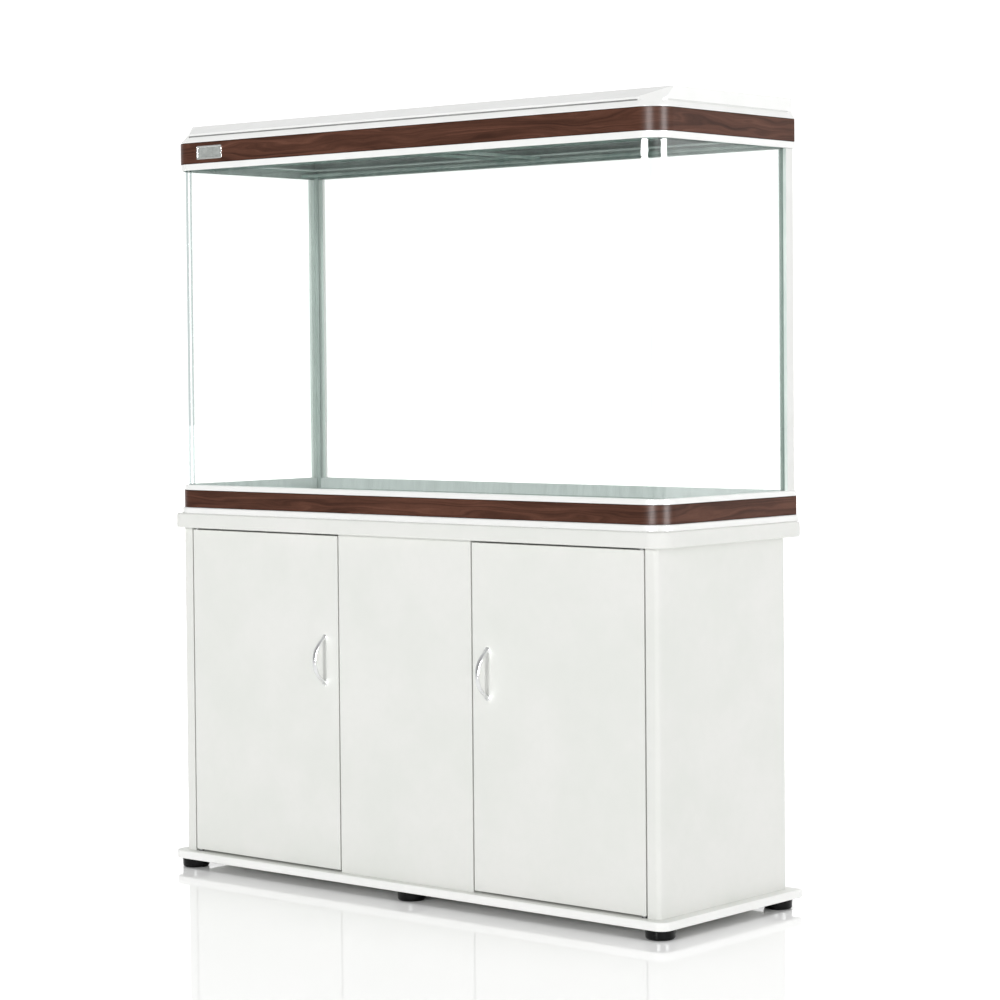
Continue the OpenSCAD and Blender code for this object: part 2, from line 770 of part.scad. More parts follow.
base_plate();
feet();
foot_screws();
base_screws();
left_side();
right_side();
left_partition();
right_partition();
back_panel();
back_screws();
centre_panel();
left_shelf();
shelf_pins();
top_dowels();
top_plate();
pivot_bushes();
magnet_catches();
left_door();
right_door();
left_handle();
right_handle();
left_handle_screws();
right_handle_screws();
left_door_pivots();
right_door_pivots();
left_strike();
right_strike();
tank_base_frame();
base_wood_band();
bent_front_glass();
rear_glass();
bottom_glass();
silicone_seams();
front_brace();
rear_brace();
cross_brace();
left_corner_trim();
right_corner_trim();
hood_frame();
hood_wood_band();
hood_nameplate();
hood_cover();
cover_screws();
lamp_brackets();
lamp_housing();
lamp_reflector();
lamp_tubes();
lamp_holders();
lamp_cover();
lamp_ballast();
cable_gland();
feeding_lid();
lid_hinge_pins();
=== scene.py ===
"""Aquarium with a lift-off hood on a two-door cabinet: its surfaces, the studio and the camera.

Everything is in metres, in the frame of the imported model: X along the front, Y from front to back, Z up.
"""

import json
import math

import bmesh
import bpy
from mathutils import Matrix, Vector


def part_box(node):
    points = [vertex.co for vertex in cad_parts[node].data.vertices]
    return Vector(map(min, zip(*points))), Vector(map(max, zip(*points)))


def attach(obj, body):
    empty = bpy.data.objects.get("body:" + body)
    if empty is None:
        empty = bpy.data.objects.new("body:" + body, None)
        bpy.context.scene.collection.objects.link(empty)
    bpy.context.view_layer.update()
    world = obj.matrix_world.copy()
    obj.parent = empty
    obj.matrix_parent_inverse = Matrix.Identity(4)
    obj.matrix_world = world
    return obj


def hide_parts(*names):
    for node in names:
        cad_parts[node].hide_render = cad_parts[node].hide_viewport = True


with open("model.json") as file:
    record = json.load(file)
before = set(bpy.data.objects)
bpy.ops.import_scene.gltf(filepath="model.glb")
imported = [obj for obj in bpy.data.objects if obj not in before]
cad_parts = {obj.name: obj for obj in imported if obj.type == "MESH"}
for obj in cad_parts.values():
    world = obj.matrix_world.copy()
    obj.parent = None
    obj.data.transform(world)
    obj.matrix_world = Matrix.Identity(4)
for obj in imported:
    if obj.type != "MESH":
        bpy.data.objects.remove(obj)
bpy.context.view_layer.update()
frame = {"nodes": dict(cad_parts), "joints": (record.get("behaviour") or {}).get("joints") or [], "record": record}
scene = bpy.context.scene

MM = 0.001
BAND_LO, BAND_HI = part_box("hood_wood_band")
HALF_W = BAND_HI.x
FRONT = BAND_LO.y
BACK = BAND_HI.y
CORNER_R = 45 * MM
CORNER_STEPS = 20
EDGE_STEPS = 3
SHARP = math.radians(32)
HOSE_LOW, HOSE_HIGH = 550 * MM, 630 * MM
BODY_OF = {node: body for body, nodes in frame["record"]["behaviour"]["bodies"].items() for node in nodes}


# ---------- finishes ----------

class Wire:
    """A value in a shader. Sums with it add Math nodes."""

    def __init__(self, finish, socket):
        self.finish = finish
        self.socket = socket

    def maths(self, operation, *others):
        values = {i: v for i, v in enumerate((self, *others))}
        return self.finish.add("ShaderNodeMath", {"operation": operation}, values).out(0)

    def __add__(self, other):
        return self.maths("ADD", other)

    def __radd__(self, other):
        return self.maths("ADD", other)

    def __sub__(self, other):
        return self.maths("SUBTRACT", other)

    def __rsub__(self, other):
        return (self * -1) + other

    def __mul__(self, other):
        return self.maths("MULTIPLY", other)

    def __rmul__(self, other):
        return self.maths("MULTIPLY", other)

    def __pow__(self, other):
        return self.maths("POWER", other)

    def between(self, low, high):
        """This value from low..high to 0..1, eased at both ends and clamped."""
        values = {"Value": self, "From Min": low, "From Max": high}
        settings = {"interpolation_type": "SMOOTHSTEP"}
        return self.finish.add("ShaderNodeMapRange", settings, values).out(0)


class Added:
    """A node in a shader, with its outputs as wires."""

    def __init__(self, finish, node):
        self.finish = finish
        self.node = node

    def out(self, name):
        return Wire(self.finish, self.node.outputs[name])


class Finish:
    """A surface finish: one Principled shader and the nodes that feed it."""

    def __init__(self, name, colour, roughness, **fixed):
        self.material = bpy.data.materials.new(name)
        self.material.use_nodes = True
        self.tree = self.material.node_tree
        self.shader = self.tree.nodes["Principled BSDF"]
        self.material.diffuse_color = (*colour, 1.0)
        self.feed(**{"Base Color": (*colour, 1.0), "Roughness": roughness})
        self.feed(**{name.replace("_", " "): value for name, value in fixed.items()})

    def add(self, kind, settings=None, inputs=None):
        """Adds a node: its settings first, then the values or wires of its sockets."""
        node = self.tree.nodes.new(kind)
        for key, value in (settings or {}).items():
            if key == "stops":
                self.set_stops(node.color_ramp, value)
            else:
                setattr(node, key, value)
        for key, value in (inputs or {}).items():
            self.plug(node.inputs[key], value)
        return Added(self, node)

    def set_stops(self, ramp, stops):
        while len(ramp.elements) < len(stops):
            ramp.elements.new(0.5)
        for element, (place, colour) in zip(ramp.elements, stops):
            element.position = place
            element.color = (*colour, 1.0)

    def plug(self, socket, value):
        if isinstance(value, Wire):
            self.tree.links.new(value.socket, socket)
        else:
            socket.default_value = value

    def feed(self, **inputs):
        """Sets or links the shader's own sockets."""
        for name, value in inputs.items():
            self.plug(self.shader.inputs[name], value)

    def place(self, scale=(1.0, 1.0, 1.0)):
        """Where a point lies on the object, in metres, stretched by scale."""
        where = self.add("ShaderNodeTexCoord").out("Object")
        return self.stretched(where, scale)

    def stretched(self, vector, scale):
        settings = {"operation": "MULTIPLY"}
        return self.add("ShaderNodeVectorMath", settings, {0: vector, 1: scale}).out(0)

    def run(self, scale=(1.0, 1.0, 1.0)):
        """Along a strip and up it in metres, and its share of the height, from the run attribute."""
        settings = {"attribute_name": "run"}
        return self.stretched(self.add("ShaderNodeAttribute", settings).out("Vector"), scale)

    def noise(self, vector, scale, detail=2.0, roughness=0.5, distortion=0.0):
        values = {"Vector": vector, "Scale": scale, "Detail": detail, "Roughness": roughness}
        values["Distortion"] = distortion
        return self.add("ShaderNodeTexNoise", None, values).out(0)

    def blend(self, share, first, second):
        """A colour between two colours."""
        return self.add("ShaderNodeMix", {"data_type": "RGBA"}, {0: share, 6: first, 7: second}).out(2)

    def tint(self, share, dark, light):
        """Feeds the base colour, which goes from dark to light as share goes from 0 to 1."""
        dark = dark if isinstance(dark, Wire) else opaque(dark)
        self.feed(**{"Base Color": self.blend(share, dark, opaque(light))})

    def ramp(self, share, stops):
        return self.add("ShaderNodeValToRGB", {"stops": stops}, {0: share}).out(0)

    def bump(self, height, depth, strength=1.0):
        values = {"Height": height, "Distance": depth, "Strength": strength}
        self.feed(Normal=self.add("ShaderNodeBump", None, values).out(0))


def opaque(colour):
    return (*colour, 1.0)


def laminate(name, dark, light, grey):
    """White melamine board: satin, with a fine pearl texture and faint clouding."""
    finish = Finish(name, light, 0.4, IOR=1.45)
    place = finish.place()
    clouds = finish.noise(place, 5.5, 3.0, 0.6)
    pearl = finish.noise(place, 900.0, 2.0, 0.5)
    dust = finish.noise(place, 60.0, 3.0, 0.6)
    warm = finish.blend(clouds.between(0.3, 0.7), opaque(dark), opaque(light))
    finish.tint(dust.between(0.35, 0.8) * 0.25, warm, grey)
    finish.feed(Roughness=0.36 + 0.12 * clouds + 0.05 * pearl)
    finish.bump(pearl, 0.03 * MM, 0.5)
    return finish.material


def moulded_white(name, dark, light):
    """Glossy white moulded plastic with a slow waviness."""
    finish = Finish(name, light, 0.2, IOR=1.5)
    place = finish.place()
    slow = finish.noise(place, 14.0, 2.0, 0.5)
    fine = finish.noise(place, 700.0, 2.0, 0.6)
    finish.tint(slow.between(0.3, 0.7), dark, light)
    finish.feed(Roughness=0.16 + 0.1 * slow + 0.05 * fine)
    finish.bump(0.9 * slow + 0.02 * fine, 0.3 * MM, 0.35)
    return finish.material


def painted_shade_plastic(name, dark, light):
    """Painted shade on the same moulding, for faces where little light reaches: greyer and matt, with uneven
    blotches and specks.
    """
    finish = Finish(name, light, 0.55, IOR=1.45)
    place = finish.place()
    blotches = finish.noise(place, 25.0, 4.0, 0.65)
    specks = finish.noise(place, 420.0, 2.0, 0.6)
    tone = blotches * 0.7 + specks * 0.3
    finish.tint(tone.between(0.35, 0.65), dark, light)
    finish.feed(Roughness=0.45 + 0.25 * blotches)
    finish.bump(specks, 0.05 * MM, 0.5)
    return finish.material


def walnut_foil():
    """Dark walnut foil. The grain runs along the strip in long, bending figures."""
    finish = Finish("walnut_foil", (0.075, 0.030, 0.018), 0.32, Specular_IOR_Level=0.08)
    slow = finish.noise(finish.run((3.4, 12.0, 1.0)), 1.0, 2.0, 0.5)
    bend = finish.noise(finish.run((9.0, 22.0, 1.0)), 1.0, 2.0, 0.5)
    along = finish.add("ShaderNodeSeparateXYZ", None, {0: finish.run()})
    height = along.out("Y")
    rings = height * 150.0 + slow * 9.0 + bend * 2.0
    figure = finish.noise(
        finish.add("ShaderNodeCombineXYZ", None, {"X": along.out("X") * 2.0, "Y": rings, "Z": 0.0}).out(0),
        1.0, 4.0, 0.62, 0.3,
    )
    fibre = finish.noise(finish.run((45.0, 2600.0, 1.0)), 1.0, 3.0, 0.7)
    pores = finish.noise(finish.run((120.0, 5200.0, 1.0)), 1.0, 1.0, 0.5).between(0.62, 0.75)
    patches = finish.noise(finish.run((7.0, 22.0, 1.0)), 1.0, 2.0, 0.5)
    tone = figure * 0.66 + fibre * 0.18 + patches * 0.24 - 0.05
    colour = finish.ramp(tone, [
        (0.33, (0.036, 0.0140, 0.0086)),
        (0.45, (0.076, 0.0305, 0.0190)),
        (0.55, (0.110, 0.0455, 0.0290)),
        (0.68, (0.160, 0.0690, 0.0450)),
    ])
    # Painted shade: near-black along the strip's top and bottom edges, where it meets the frame. dark joins that
    # with the real pores of the grain.
    rim = (along.out("Z") - 0.5).maths("ABSOLUTE").between(0.455, 0.49)
    dark = (pores * 0.5).maths("MAXIMUM", rim * 0.75)
    finish.tint(dark, colour, (0.018, 0.007, 0.0045))
    finish.feed(Roughness=0.27 + 0.12 * fibre + 0.1 * pores)
    finish.bump(fibre * 0.6 - pores, 0.04 * MM, 0.35)
    return finish.material


def clear_pane(name, tint, deep, mirror=0.04, glance=1.0):
    """Glass that shows what is behind it. At a glancing angle it takes the deep tint."""
    finish = Finish(name, tint, 0.0)
    facing = finish.add("ShaderNodeLayerWeight", None, {"Blend": 0.5}).out("Facing")
    share = mirror + (glance - mirror) * facing ** 5.0
    clear = finish.add("ShaderNodeBsdfTransparent", None, {"Color": opaque(tint)}).out(0)
    smoky = finish.add("ShaderNodeBsdfTransparent", None, {"Color": opaque(deep)}).out(0)
    glancing = facing.between(0.44, 0.56)
    through = finish.add("ShaderNodeMixShader", None, {0: glancing, 1: clear, 2: smoky}).out(0)
    sharp = {"Color": opaque((1.0, 1.0, 1.0)), "Roughness": 0.0}
    gloss = finish.add("ShaderNodeBsdfGlossy", None, sharp).out(0)
    mirrored = share * (1.0 - 0.8 * glancing)
    both = finish.add("ShaderNodeMixShader", None, {0: mirrored, 1: through, 2: gloss}).out(0)
    output = finish.tree.nodes["Material Output"]
    finish.tree.nodes.remove(finish.shader)
    finish.plug(output.inputs["Surface"], both)
    return finish.material


def glass_edge():
    """The polished edge of float glass, where the green builds up."""
    finish = Finish("glass_edge", (0.40, 0.52, 0.475), 0.12, IOR=1.5, Alpha=0.65)
    streak = finish.noise(finish.place((30.0, 30.0, 4.0)), 1.0, 3.0, 0.6)
    finish.tint(streak.between(0.3, 0.7), (0.32, 0.43, 0.39), (0.52, 0.63, 0.585))
    return finish.material


def silicone(name, dark, light, alpha=1.0, glow=0.0):
    """Smoothed silicone behind or beside glass: uneven and slightly milky. glow is painted light: an emission in
    the light colour, standing in for light that comes through the glass.
    """
    # Painted light: an emission of strength glow.
    lit = {"Emission_Strength": glow, "Emission_Color": opaque(light)}
    finish = Finish(name, light, 0.3, IOR=1.41, Alpha=alpha, **lit)
    cloud = finish.noise(finish.place((40.0, 40.0, 9.0)), 1.0, 4.0, 0.65, 0.6)
    streak = finish.noise(finish.place((400.0, 400.0, 20.0)), 1.0, 2.0, 0.6)
    tone = cloud * 0.7 + streak * 0.3
    finish.tint(tone.between(0.3, 0.7), dark, light)
    finish.feed(Roughness=0.22 + 0.2 * cloud)
    finish.bump(tone, 0.25 * MM, 0.4)
    return finish.material


def chrome():
    finish = Finish("bright_chrome", (0.82, 0.825, 0.83), 0.06, Metallic=1.0)
    smear = finish.noise(finish.place((200.0, 200.0, 60.0)), 1.0, 3.0, 0.6)
    finish.feed(Roughness=0.04 + 0.09 * smear.between(0.35, 0.8))
    finish.bump(finish.noise(finish.place(), 55.0, 1.0), 0.05 * MM, 0.25)
    return finish.material


def zinc_plate():
    finish = Finish("zinc_plate", (0.60, 0.61, 0.62), 0.34, Metallic=1.0)
    grain = finish.noise(finish.place(), 700.0, 3.0, 0.6)
    cloud = finish.noise(finish.place(), 90.0, 2.0, 0.5)
    finish.tint(cloud, (0.55, 0.565, 0.585), (0.68, 0.68, 0.67))
    finish.feed(Roughness=0.26 + 0.2 * grain)
    finish.bump(grain, 0.03 * MM, 0.4)
    return finish.material


def gloss_black():
    finish = Finish("gloss_black", (0.004, 0.004, 0.004), 0.18, Specular_IOR_Level=0.18)
    scuff = finish.noise(finish.place(), 160.0, 4.0, 0.65)
    finish.feed(Roughness=0.12 + 0.2 * scuff.between(0.45, 0.8))
    finish.tint(scuff.between(0.5, 0.85) * 0.5, (0.003, 0.003, 0.003), (0.008, 0.008, 0.008))
    finish.bump(finish.noise(finish.place(), 900.0, 2.0), 0.02 * MM, 0.5)
    return finish.material


def grey_nylon():
    finish = Finish("grey_nylon", (0.10, 0.10, 0.10), 0.45, IOR=1.52)
    grain = finish.noise(finish.place(), 1100.0, 2.0, 0.6)
    cloud = finish.noise(finish.place(), 60.0, 2.0, 0.5)
    finish.tint(cloud, (0.08, 0.08, 0.08), (0.13, 0.13, 0.13))
    finish.feed(Roughness=0.4 + 0.12 * grain)
    finish.bump(grain, 0.04 * MM, 0.5)
    return finish.material


def beech():
    finish = Finish("beech", (0.55, 0.36, 0.2), 0.55)
    fibre = finish.noise(finish.place((900.0, 900.0, 30.0)), 1.0, 3.0, 0.6)
    finish.tint(fibre, (0.45, 0.28, 0.15), (0.64, 0.44, 0.26))
    finish.bump(fibre, 0.05 * MM, 0.5)
    return finish.material


def plate_field():
    """The satin, slightly worn field of the blank nameplate."""
    finish = Finish("plate_field", (0.42, 0.44, 0.42), 0.42, Metallic=0.7)
    brushed = finish.noise(finish.place((60.0, 60.0, 2200.0)), 1.0, 3.0, 0.6)
    worn = finish.noise(finish.place(), 170.0, 4.0, 0.7)
    tone = brushed * 0.5 + worn * 0.5
    finish.tint(tone.between(0.35, 0.65), (0.32, 0.34, 0.325), (0.52, 0.54, 0.52))
    finish.feed(Roughness=0.34 + 0.2 * worn)
    finish.bump(tone, 0.05 * MM, 0.4)
    return finish.material


def plate_rim():
    finish = Finish("plate_rim", (0.78, 0.79, 0.77), 0.2, Metallic=0.9)
    worn = finish.noise(finish.place(), 260.0, 3.0, 0.6)
    finish.feed(Roughness=0.14 + 0.2 * worn)
    finish.tint(worn.between(0.4, 0.8), (0.8, 0.81, 0.79), (0.66, 0.67, 0.65))
    return finish.material


def lamp_enamel():
    finish = Finish("lamp_enamel", (0.80, 0.81, 0.81), 0.3, IOR=1.5)
    peel = finish.noise(finish.place(), 420.0, 2.0, 0.5)
    cloud = finish.noise(finish.place(), 22.0, 2.0, 0.5)
    finish.tint(cloud, (0.77, 0.785, 0.785), (0.83, 0.835, 0.83))
    finish.feed(Roughness=0.24 + 0.14 * peel)
    finish.bump(peel, 0.05 * MM, 0.5)
    return finish.material


def rolled_mirror():
    finish = Finish("rolled_mirror", (0.84, 0.85, 0.86), 0.14, Metallic=1.0)
    rolled = finish.noise(finish.place((4.0, 900.0, 900.0)), 1.0, 3.0, 0.6)
    finish.feed(Roughness=0.08 + 0.16 * rolled)
    finish.tint(rolled, (0.80, 0.81, 0.83), (0.88, 0.885, 0.89))
    return finish.material


def lamp_glass():
    """A lamp tube, coated white inside and greyer towards its ends."""
    finish = Finish("lamp_glass", (0.88, 0.89, 0.87), 0.08, IOR=1.5, Coat_Weight=0.5, Coat_Roughness=0.03)
    along = finish.add("ShaderNodeSeparateXYZ", None, {0: finish.place()}).out("X")
    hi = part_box("lamp_tubes")[1]
    end = along.maths("ABSOLUTE").between(hi.x - 0.06, hi.x)
    powder = finish.noise(finish.place((30.0, 300.0, 300.0)), 1.0, 3.0, 0.6)
    share = end * 0.6 + powder * 0.12
    finish.tint(share, (0.90, 0.91, 0.89), (0.45, 0.45, 0.44))
    finish.feed(Roughness=0.07 + 0.06 * powder)
    return finish.material


def studio_floor():
    """A pale gloss floor."""
    finish = Finish("studio_floor", (0.93, 0.93, 0.93), 0.04, IOR=1.45)
    cloud = finish.noise(finish.place(), 1.2, 3.0, 0.5)
    finish.feed(Roughness=0.03 + 0.03 * cloud)
    return finish.material


WHITE_BOARD = laminate("white_laminate", (0.785, 0.80, 0.762), (0.825, 0.828, 0.80), (0.77, 0.785, 0.75))
# Painted light: a lighter laminate for the base plate's edges, to offset the shade near the floor.
WHITE_EDGING_PAINTED_LIGHT = laminate("white_edging", (0.93, 0.935, 0.915), (0.96, 0.962, 0.945), (0.90, 0.91, 0.89))
WHITE_PLASTIC = moulded_white("moulded_white", (0.89, 0.897, 0.88), (0.92, 0.924, 0.912))
TRIM_PLASTIC = moulded_white("extruded_white", (0.765, 0.77, 0.75), (0.80, 0.805, 0.79))
WALNUT = walnut_foil()
# Painted shade: SHADED for the hood's inner faces and the cover's underside, and the groove finish for the seam
# groove between frame and cover.
SHADED = painted_shade_plastic("shaded_plastic", (0.36, 0.41, 0.395), (0.47, 0.52, 0.50))
PAINTED_GROOVE_SHADE = painted_shade_plastic("dusty_groove", (0.30, 0.305, 0.30), (0.42, 0.425, 0.415))
PANE = clear_pane("clear_glass", (0.982, 0.993, 0.988), (0.94, 0.965, 0.955))
BEND = clear_pane("bent_glass", (0.982, 0.993, 0.988), (0.67, 0.71, 0.705))
BRACE = clear_pane("brace_glass", (0.93, 0.965, 0.95), (0.80, 0.86, 0.84), 0.03, 0.1)
ACRYLIC = clear_pane("clear_acrylic", (0.96, 0.975, 0.97), (0.70, 0.74, 0.73))
GLASS_EDGE = glass_edge()
SEAL = silicone("clear_silicone", (0.52, 0.60, 0.57), (0.66, 0.74, 0.71), 0.55)
# The trims' faces behind the glass: bonding silicone, with painted shade in its darker grey-green and painted
# light in its faint glow.
BOND_WITH_PAINTED_SHADE_AND_GLOW = silicone("bonded_corner", (0.52, 0.59, 0.56), (0.68, 0.75, 0.715), 1.0, 0.22)
# The glass inside the base frame: bonding silicone, with painted shade in its opaque grey-green.
BASE_BOND_WITH_PAINTED_SHADE = silicone("bonded_base", (0.58, 0.63, 0.615), (0.70, 0.75, 0.735))
CHROME = chrome()
ZINC = zinc_plate()
BLACK = gloss_black()
NYLON = grey_nylon()
BEECH = beech()
PLATE_FIELD = plate_field()
PLATE_RIM = plate_rim()
ENAMEL = lamp_enamel()
MIRROR = rolled_mirror()
TUBE = lamp_glass()

# The finish of every node as packed. Detailed pieces below replace most of them.
NODE_FINISH = {
    "white_board": WHITE_BOARD, "white_plastic": WHITE_PLASTIC, "walnut_foil": WALNUT, "tank_glass": PANE,
    "silicone": SEAL, "chrome": CHROME, "zinc_steel": ZINC, "black_plastic": BLACK, "nylon": NYLON,
    "beech": BEECH, "plate_metal": PLATE_FIELD, "lamp_enamel": ENAMEL, "reflector": MIRROR,
    "lamp_tube": TUBE, "clear_acrylic": ACRYLIC,
}
SLOT_OF = {part["node"]: part["material_slot"] for part in frame["record"]["subparts"]}
for node, packed in frame["nodes"].items():
    packed.data.materials.clear()
    packed.data.materials.append(NODE_FINISH[SLOT_OF[node]])


# ---------- mesh helpers ----------

def in_mm(points):
    """Points given in millimetres."""
    return [(x * MM, y * MM) for x, y in points]


def rectangle(x0, y0, x1, y1):
    return [(x0, y0), (x1, y0), (x1, y1), (x0, y1)]


def arc(centre, radius, start, turn, steps):
    """Points on a circle in the plane, from one angle through a turn, in degrees."""
    angles = [math.radians(start + turn * i / steps) for i in range(steps + 1)]
    return [(centre[0] + radius * math.cos(a), centre[1] + radius * math.sin(a)) for a in angles]


def quarter(steps):
    """(sine, cosine) of the angles from 0 to 90 degrees."""
    angles = [math.pi / 2 * k / steps for k in range(steps + 1)]
    return [(math.sin(a), math.cos(a)) for a in angles]


def rounded(points, radius, steps=EDGE_STEPS):
    """A closed outline with its corners rounded. A point may bring a radius of its own."""
    result = []
    for i, point in enumerate(points):
        here = Vector(point[:2])
        before = Vector(points[i - 1][:2]) - here
        after = Vector(points[(i + 1) % len(points)][:2]) - here
        r = point[2] if len(point) > 2 else radius
        half = before.angle(after) / 2
        reach = min(r / math.tan(half), before.length * 0.45, after.length * 0.45)
        r = reach * math.tan(half)
        if r < 1e-6:
            result.append(here)
            continue
        centre = here + (before.normalized() + after.normalized()).normalized() * (r / math.sin(half))
        first = here + before.normalized() * reach - centre
        last = here + after.normalized() * reach - centre
        turn = first.angle_signed(last)
        result += [centre + Matrix.Rotation(-turn * k / steps, 2) @ first for k in range(steps + 1)]
    return [tuple(p) for p in result]


def plan(inset=0.0, back=0.0, radius=CORNER_R, back_r=1.5 * MM):
    """The tank's outline from above, moved in by inset at the front and sides and by back at the back."""
    r = max(radius - inset, 1 * MM)
    x = HALF_W - inset
    y0 = FRONT + inset
    y1 = BACK - back
    loop = arc((-x + r, y0 + r), r, 180, 90, CORNER_STEPS)
    loop += arc((x - r, y0 + r), r, 270, 90, CORNER_STEPS)
    loop += arc((x - back_r, y1 - back_r), back_r, 0, 90, EDGE_STEPS)
    loop += arc((-x + back_r, y1 - back_r), back_r, 90, 90, EDGE_STEPS)
    return loop


def front_run(inset):
    """The open outline from the left rear end round the front to the right rear end."""
    r = CORNER_R - inset
    x = HALF_W - inset
    y0 = FRONT + inset
    line = [(-x, BACK)] + arc((-x + r, y0 + r), r, 180, 90, CORNER_STEPS)
    return line + arc((x - r, y0 + r), r, 270, 90, CORNER_STEPS) + [(x, BACK)]


def lengths(line):
    """The distance along a line of points to each of them, from its middle."""
    total = [0.0]
    for a, b in zip(line, line[1:]):
        total.append(total[-1] + math.dist(a, b))
    return [t - total[-1] / 2 for t in total]


def loft(bm, rows, ring_rows=False, ring_line=True, caps=True):
    """Skins rows of points. ring_rows joins the last row to the first, ring_line the ends of each row."""
    made = [[bm.verts.new(p) for p in row] for row in rows]
    count = len(rows[0])
    for i in range(len(rows) if ring_rows else len(rows) - 1):
        a, b = made[i], made[(i + 1) % len(rows)]
        for j in range(count if ring_line else count - 1):
            k = (j + 1) % count
            bm.faces.new((a[j], a[k], b[k], b[j]))
    if caps and not ring_rows:
        bm.faces.new(list(reversed(made[0])))
        bm.faces.new(made[-1])
    if caps and ring_rows and not ring_line:
        bm.faces.new([row[0] for row in made])
        bm.faces.new([row[-1] for row in reversed(made)])
    return made


def levels(z0, z1, r, steps=EDGE_STEPS):
    """(inset, height) pairs up a slab whose upper and lower edges are rounded."""
    low = [(r - r * sine, z0 + r - r * cosine) for sine, cosine in quarter(steps)]
    return low + [(inset, z0 + z1 - z) for inset, z in reversed(low)]


def slab_rows(outline, z0, z1, r):
    """Rows for a slab. outline gives the closed outline for an inset."""
    return [[(x, y, z) for x, y in outline(inset)] for inset, z in levels(z0, z1, r)]


def box_outline(lo, hi, radii):
    """A box from above. The radii go round from the front left corner by way of the front right one."""
    def outline(inset):
        r = [max(each - inset, 0.05 * MM) for each in radii]
        x0, y0, x1, y1 = lo[0] + inset, lo[1] + inset, hi[0] - inset, hi[1] - inset
        loop = arc((x0 + r[0], y0 + r[0]), r[0], 180, 90, EDGE_STEPS * 2)
        loop += arc((x1 - r[1], y0 + r[1]), r[1], 270, 90, EDGE_STEPS * 2)
        loop += arc((x1 - r[2], y1 - r[2]), r[2], 0, 90, EDGE_STEPS * 2)
        return loop + arc((x0 + r[3], y1 - r[3]), r[3], 90, 90, EDGE_STEPS * 2)
    return outline


def add_block(bm, lo, hi, r=0.6 * MM, radii=None):
    """A block with rounded edges. radii are the radii of its four upright edges."""
    loft(bm, slab_rows(box_outline(lo, hi, radii or (r,) * 4), lo[2], hi[2], r))


def bevel_sharp(bm, width, segments=2, angle=25, edges=None):
    """Rounds the edges where faces meet at more than an angle."""
    limit = math.radians(angle)
    chosen = [e for e in (edges or bm.edges) if len(e.link_faces) == 2 and e.calc_face_angle() > limit]
    rounding = {"offset": width, "segments": segments, "profile": 0.5, "clamp_overlap": True}
    bmesh.ops.bevel(bm, geom=chosen, affect="EDGES", **rounding)


AXES = {"x": (1, 2, 0), "y": (0, 2, 1), "z": (0, 1, 2)}


def add_prism(bm, outline, axis, low, high, r=0.0):
    """An outline in the plane across an axis, drawn out along it."""
    first, second, third = AXES[axis]
    part = bmesh.new()
    rows = []
    for value in (low, high):
        row = []
        for point in outline:
            place = [0.0] * 3
            place[first], place[second], place[third] = point[0], point[1], value
            row.append(place)
        rows.append(row)
    loft(part, rows)
    if r:
        bevel_sharp(part, r)
    join(bm, part)


def join(bm, part):
    """Adds one bmesh to another and frees it."""
    bmesh.ops.recalc_face_normals(part, faces=part.faces)
    temporary = bpy.data.meshes.new("part")
    part.to_mesh(temporary)
    part.free()
    bm.from_mesh(temporary)
    bpy.data.meshes.remove(temporary)


def add_turned(bm, profile, place, axis=(0, 0, 1), steps=48):
    """A turned form: (radius, height) points from the middle of one end to the middle of the other."""
    turn = Vector((0, 0, 1)).rotation_difference(Vector(axis))
    place = Vector(place)
    part = bmesh.new()
    ends = [part.verts.new(place + turn @ Vector((0, 0, h))) for r, h in (profile[0], profile[-1])]
    rings = []
    for r, h in profile[1:-1]:
        circle = arc((0, 0), r, 0, 360, steps)[:-1]
        rings.append([part.verts.new(place + turn @ Vector((x, y, h))) for x, y in circle])
    for j in range(steps):
        k = (j + 1) % steps
        part.faces.new((ends[0], rings[0][k], rings[0][j]))
        part.faces.new((ends[1], rings[-1][j], rings[-1][k]))
        for a, b in zip(rings, rings[1:]):
            part.faces.new((a[j], a[k], b[k], b[j]))
    join(bm, part)


def soft_cylinder(r, h, edge):
    """A profile for add_turned: a cylinder with rounded ends."""
    low = [(r - edge + edge * sine, edge - edge * cosine) for sine, cosine in quarter(3)]
    return [(0, 0)] + low + [(x, h - z) for x, z in reversed(low)] + [(0, h)]


def write_run(mesh, run_of):
    """Stores the run attribute: along and up in metres, then the share of the strip's height."""
    data = mesh.attributes.new("run", "FLOAT_VECTOR", "POINT").data
    for vertex in mesh.vertices:
        data[vertex.index].vector = run_of(vertex.co)


def make(name, bm, finishes, stands_for, choose=None, sharp=SHARP, run_of=None):
    """Makes a piece from a bmesh. It stands for the named nodes and rides on their body."""
    nodes = [stands_for] if isinstance(stands_for, str) else list(stands_for)
    bmesh.ops.remove_doubles(bm, verts=bm.verts, dist=0.002 * MM)
    bmesh.ops.recalc_face_normals(bm, faces=bm.faces)
    bm.normal_update()
    for face in bm.faces:
        face.smooth = True
        face.material_index = choose(face) if choose else 0
    for edge in bm.edges:
        edge.smooth = len(edge.link_faces) == 2 and edge.calc_face_angle() < sharp
    mesh = bpy.data.meshes.new(name)
    bm.to_mesh(mesh)
    bm.free()
    for finish in finishes if isinstance(finishes, (list, tuple)) else [finishes]:
        mesh.materials.append(finish)
    if run_of:
        write_run(mesh, run_of)
    piece = bpy.data.objects.new(name, mesh)
    scene.collection.objects.link(piece)
    flat = piece.modifiers.new("even_normals", "WEIGHTED_NORMAL")
    flat.keep_sharp = True
    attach(piece, BODY_OF[nodes[0]])
    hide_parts(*nodes)


# ---------- cabinet ----------

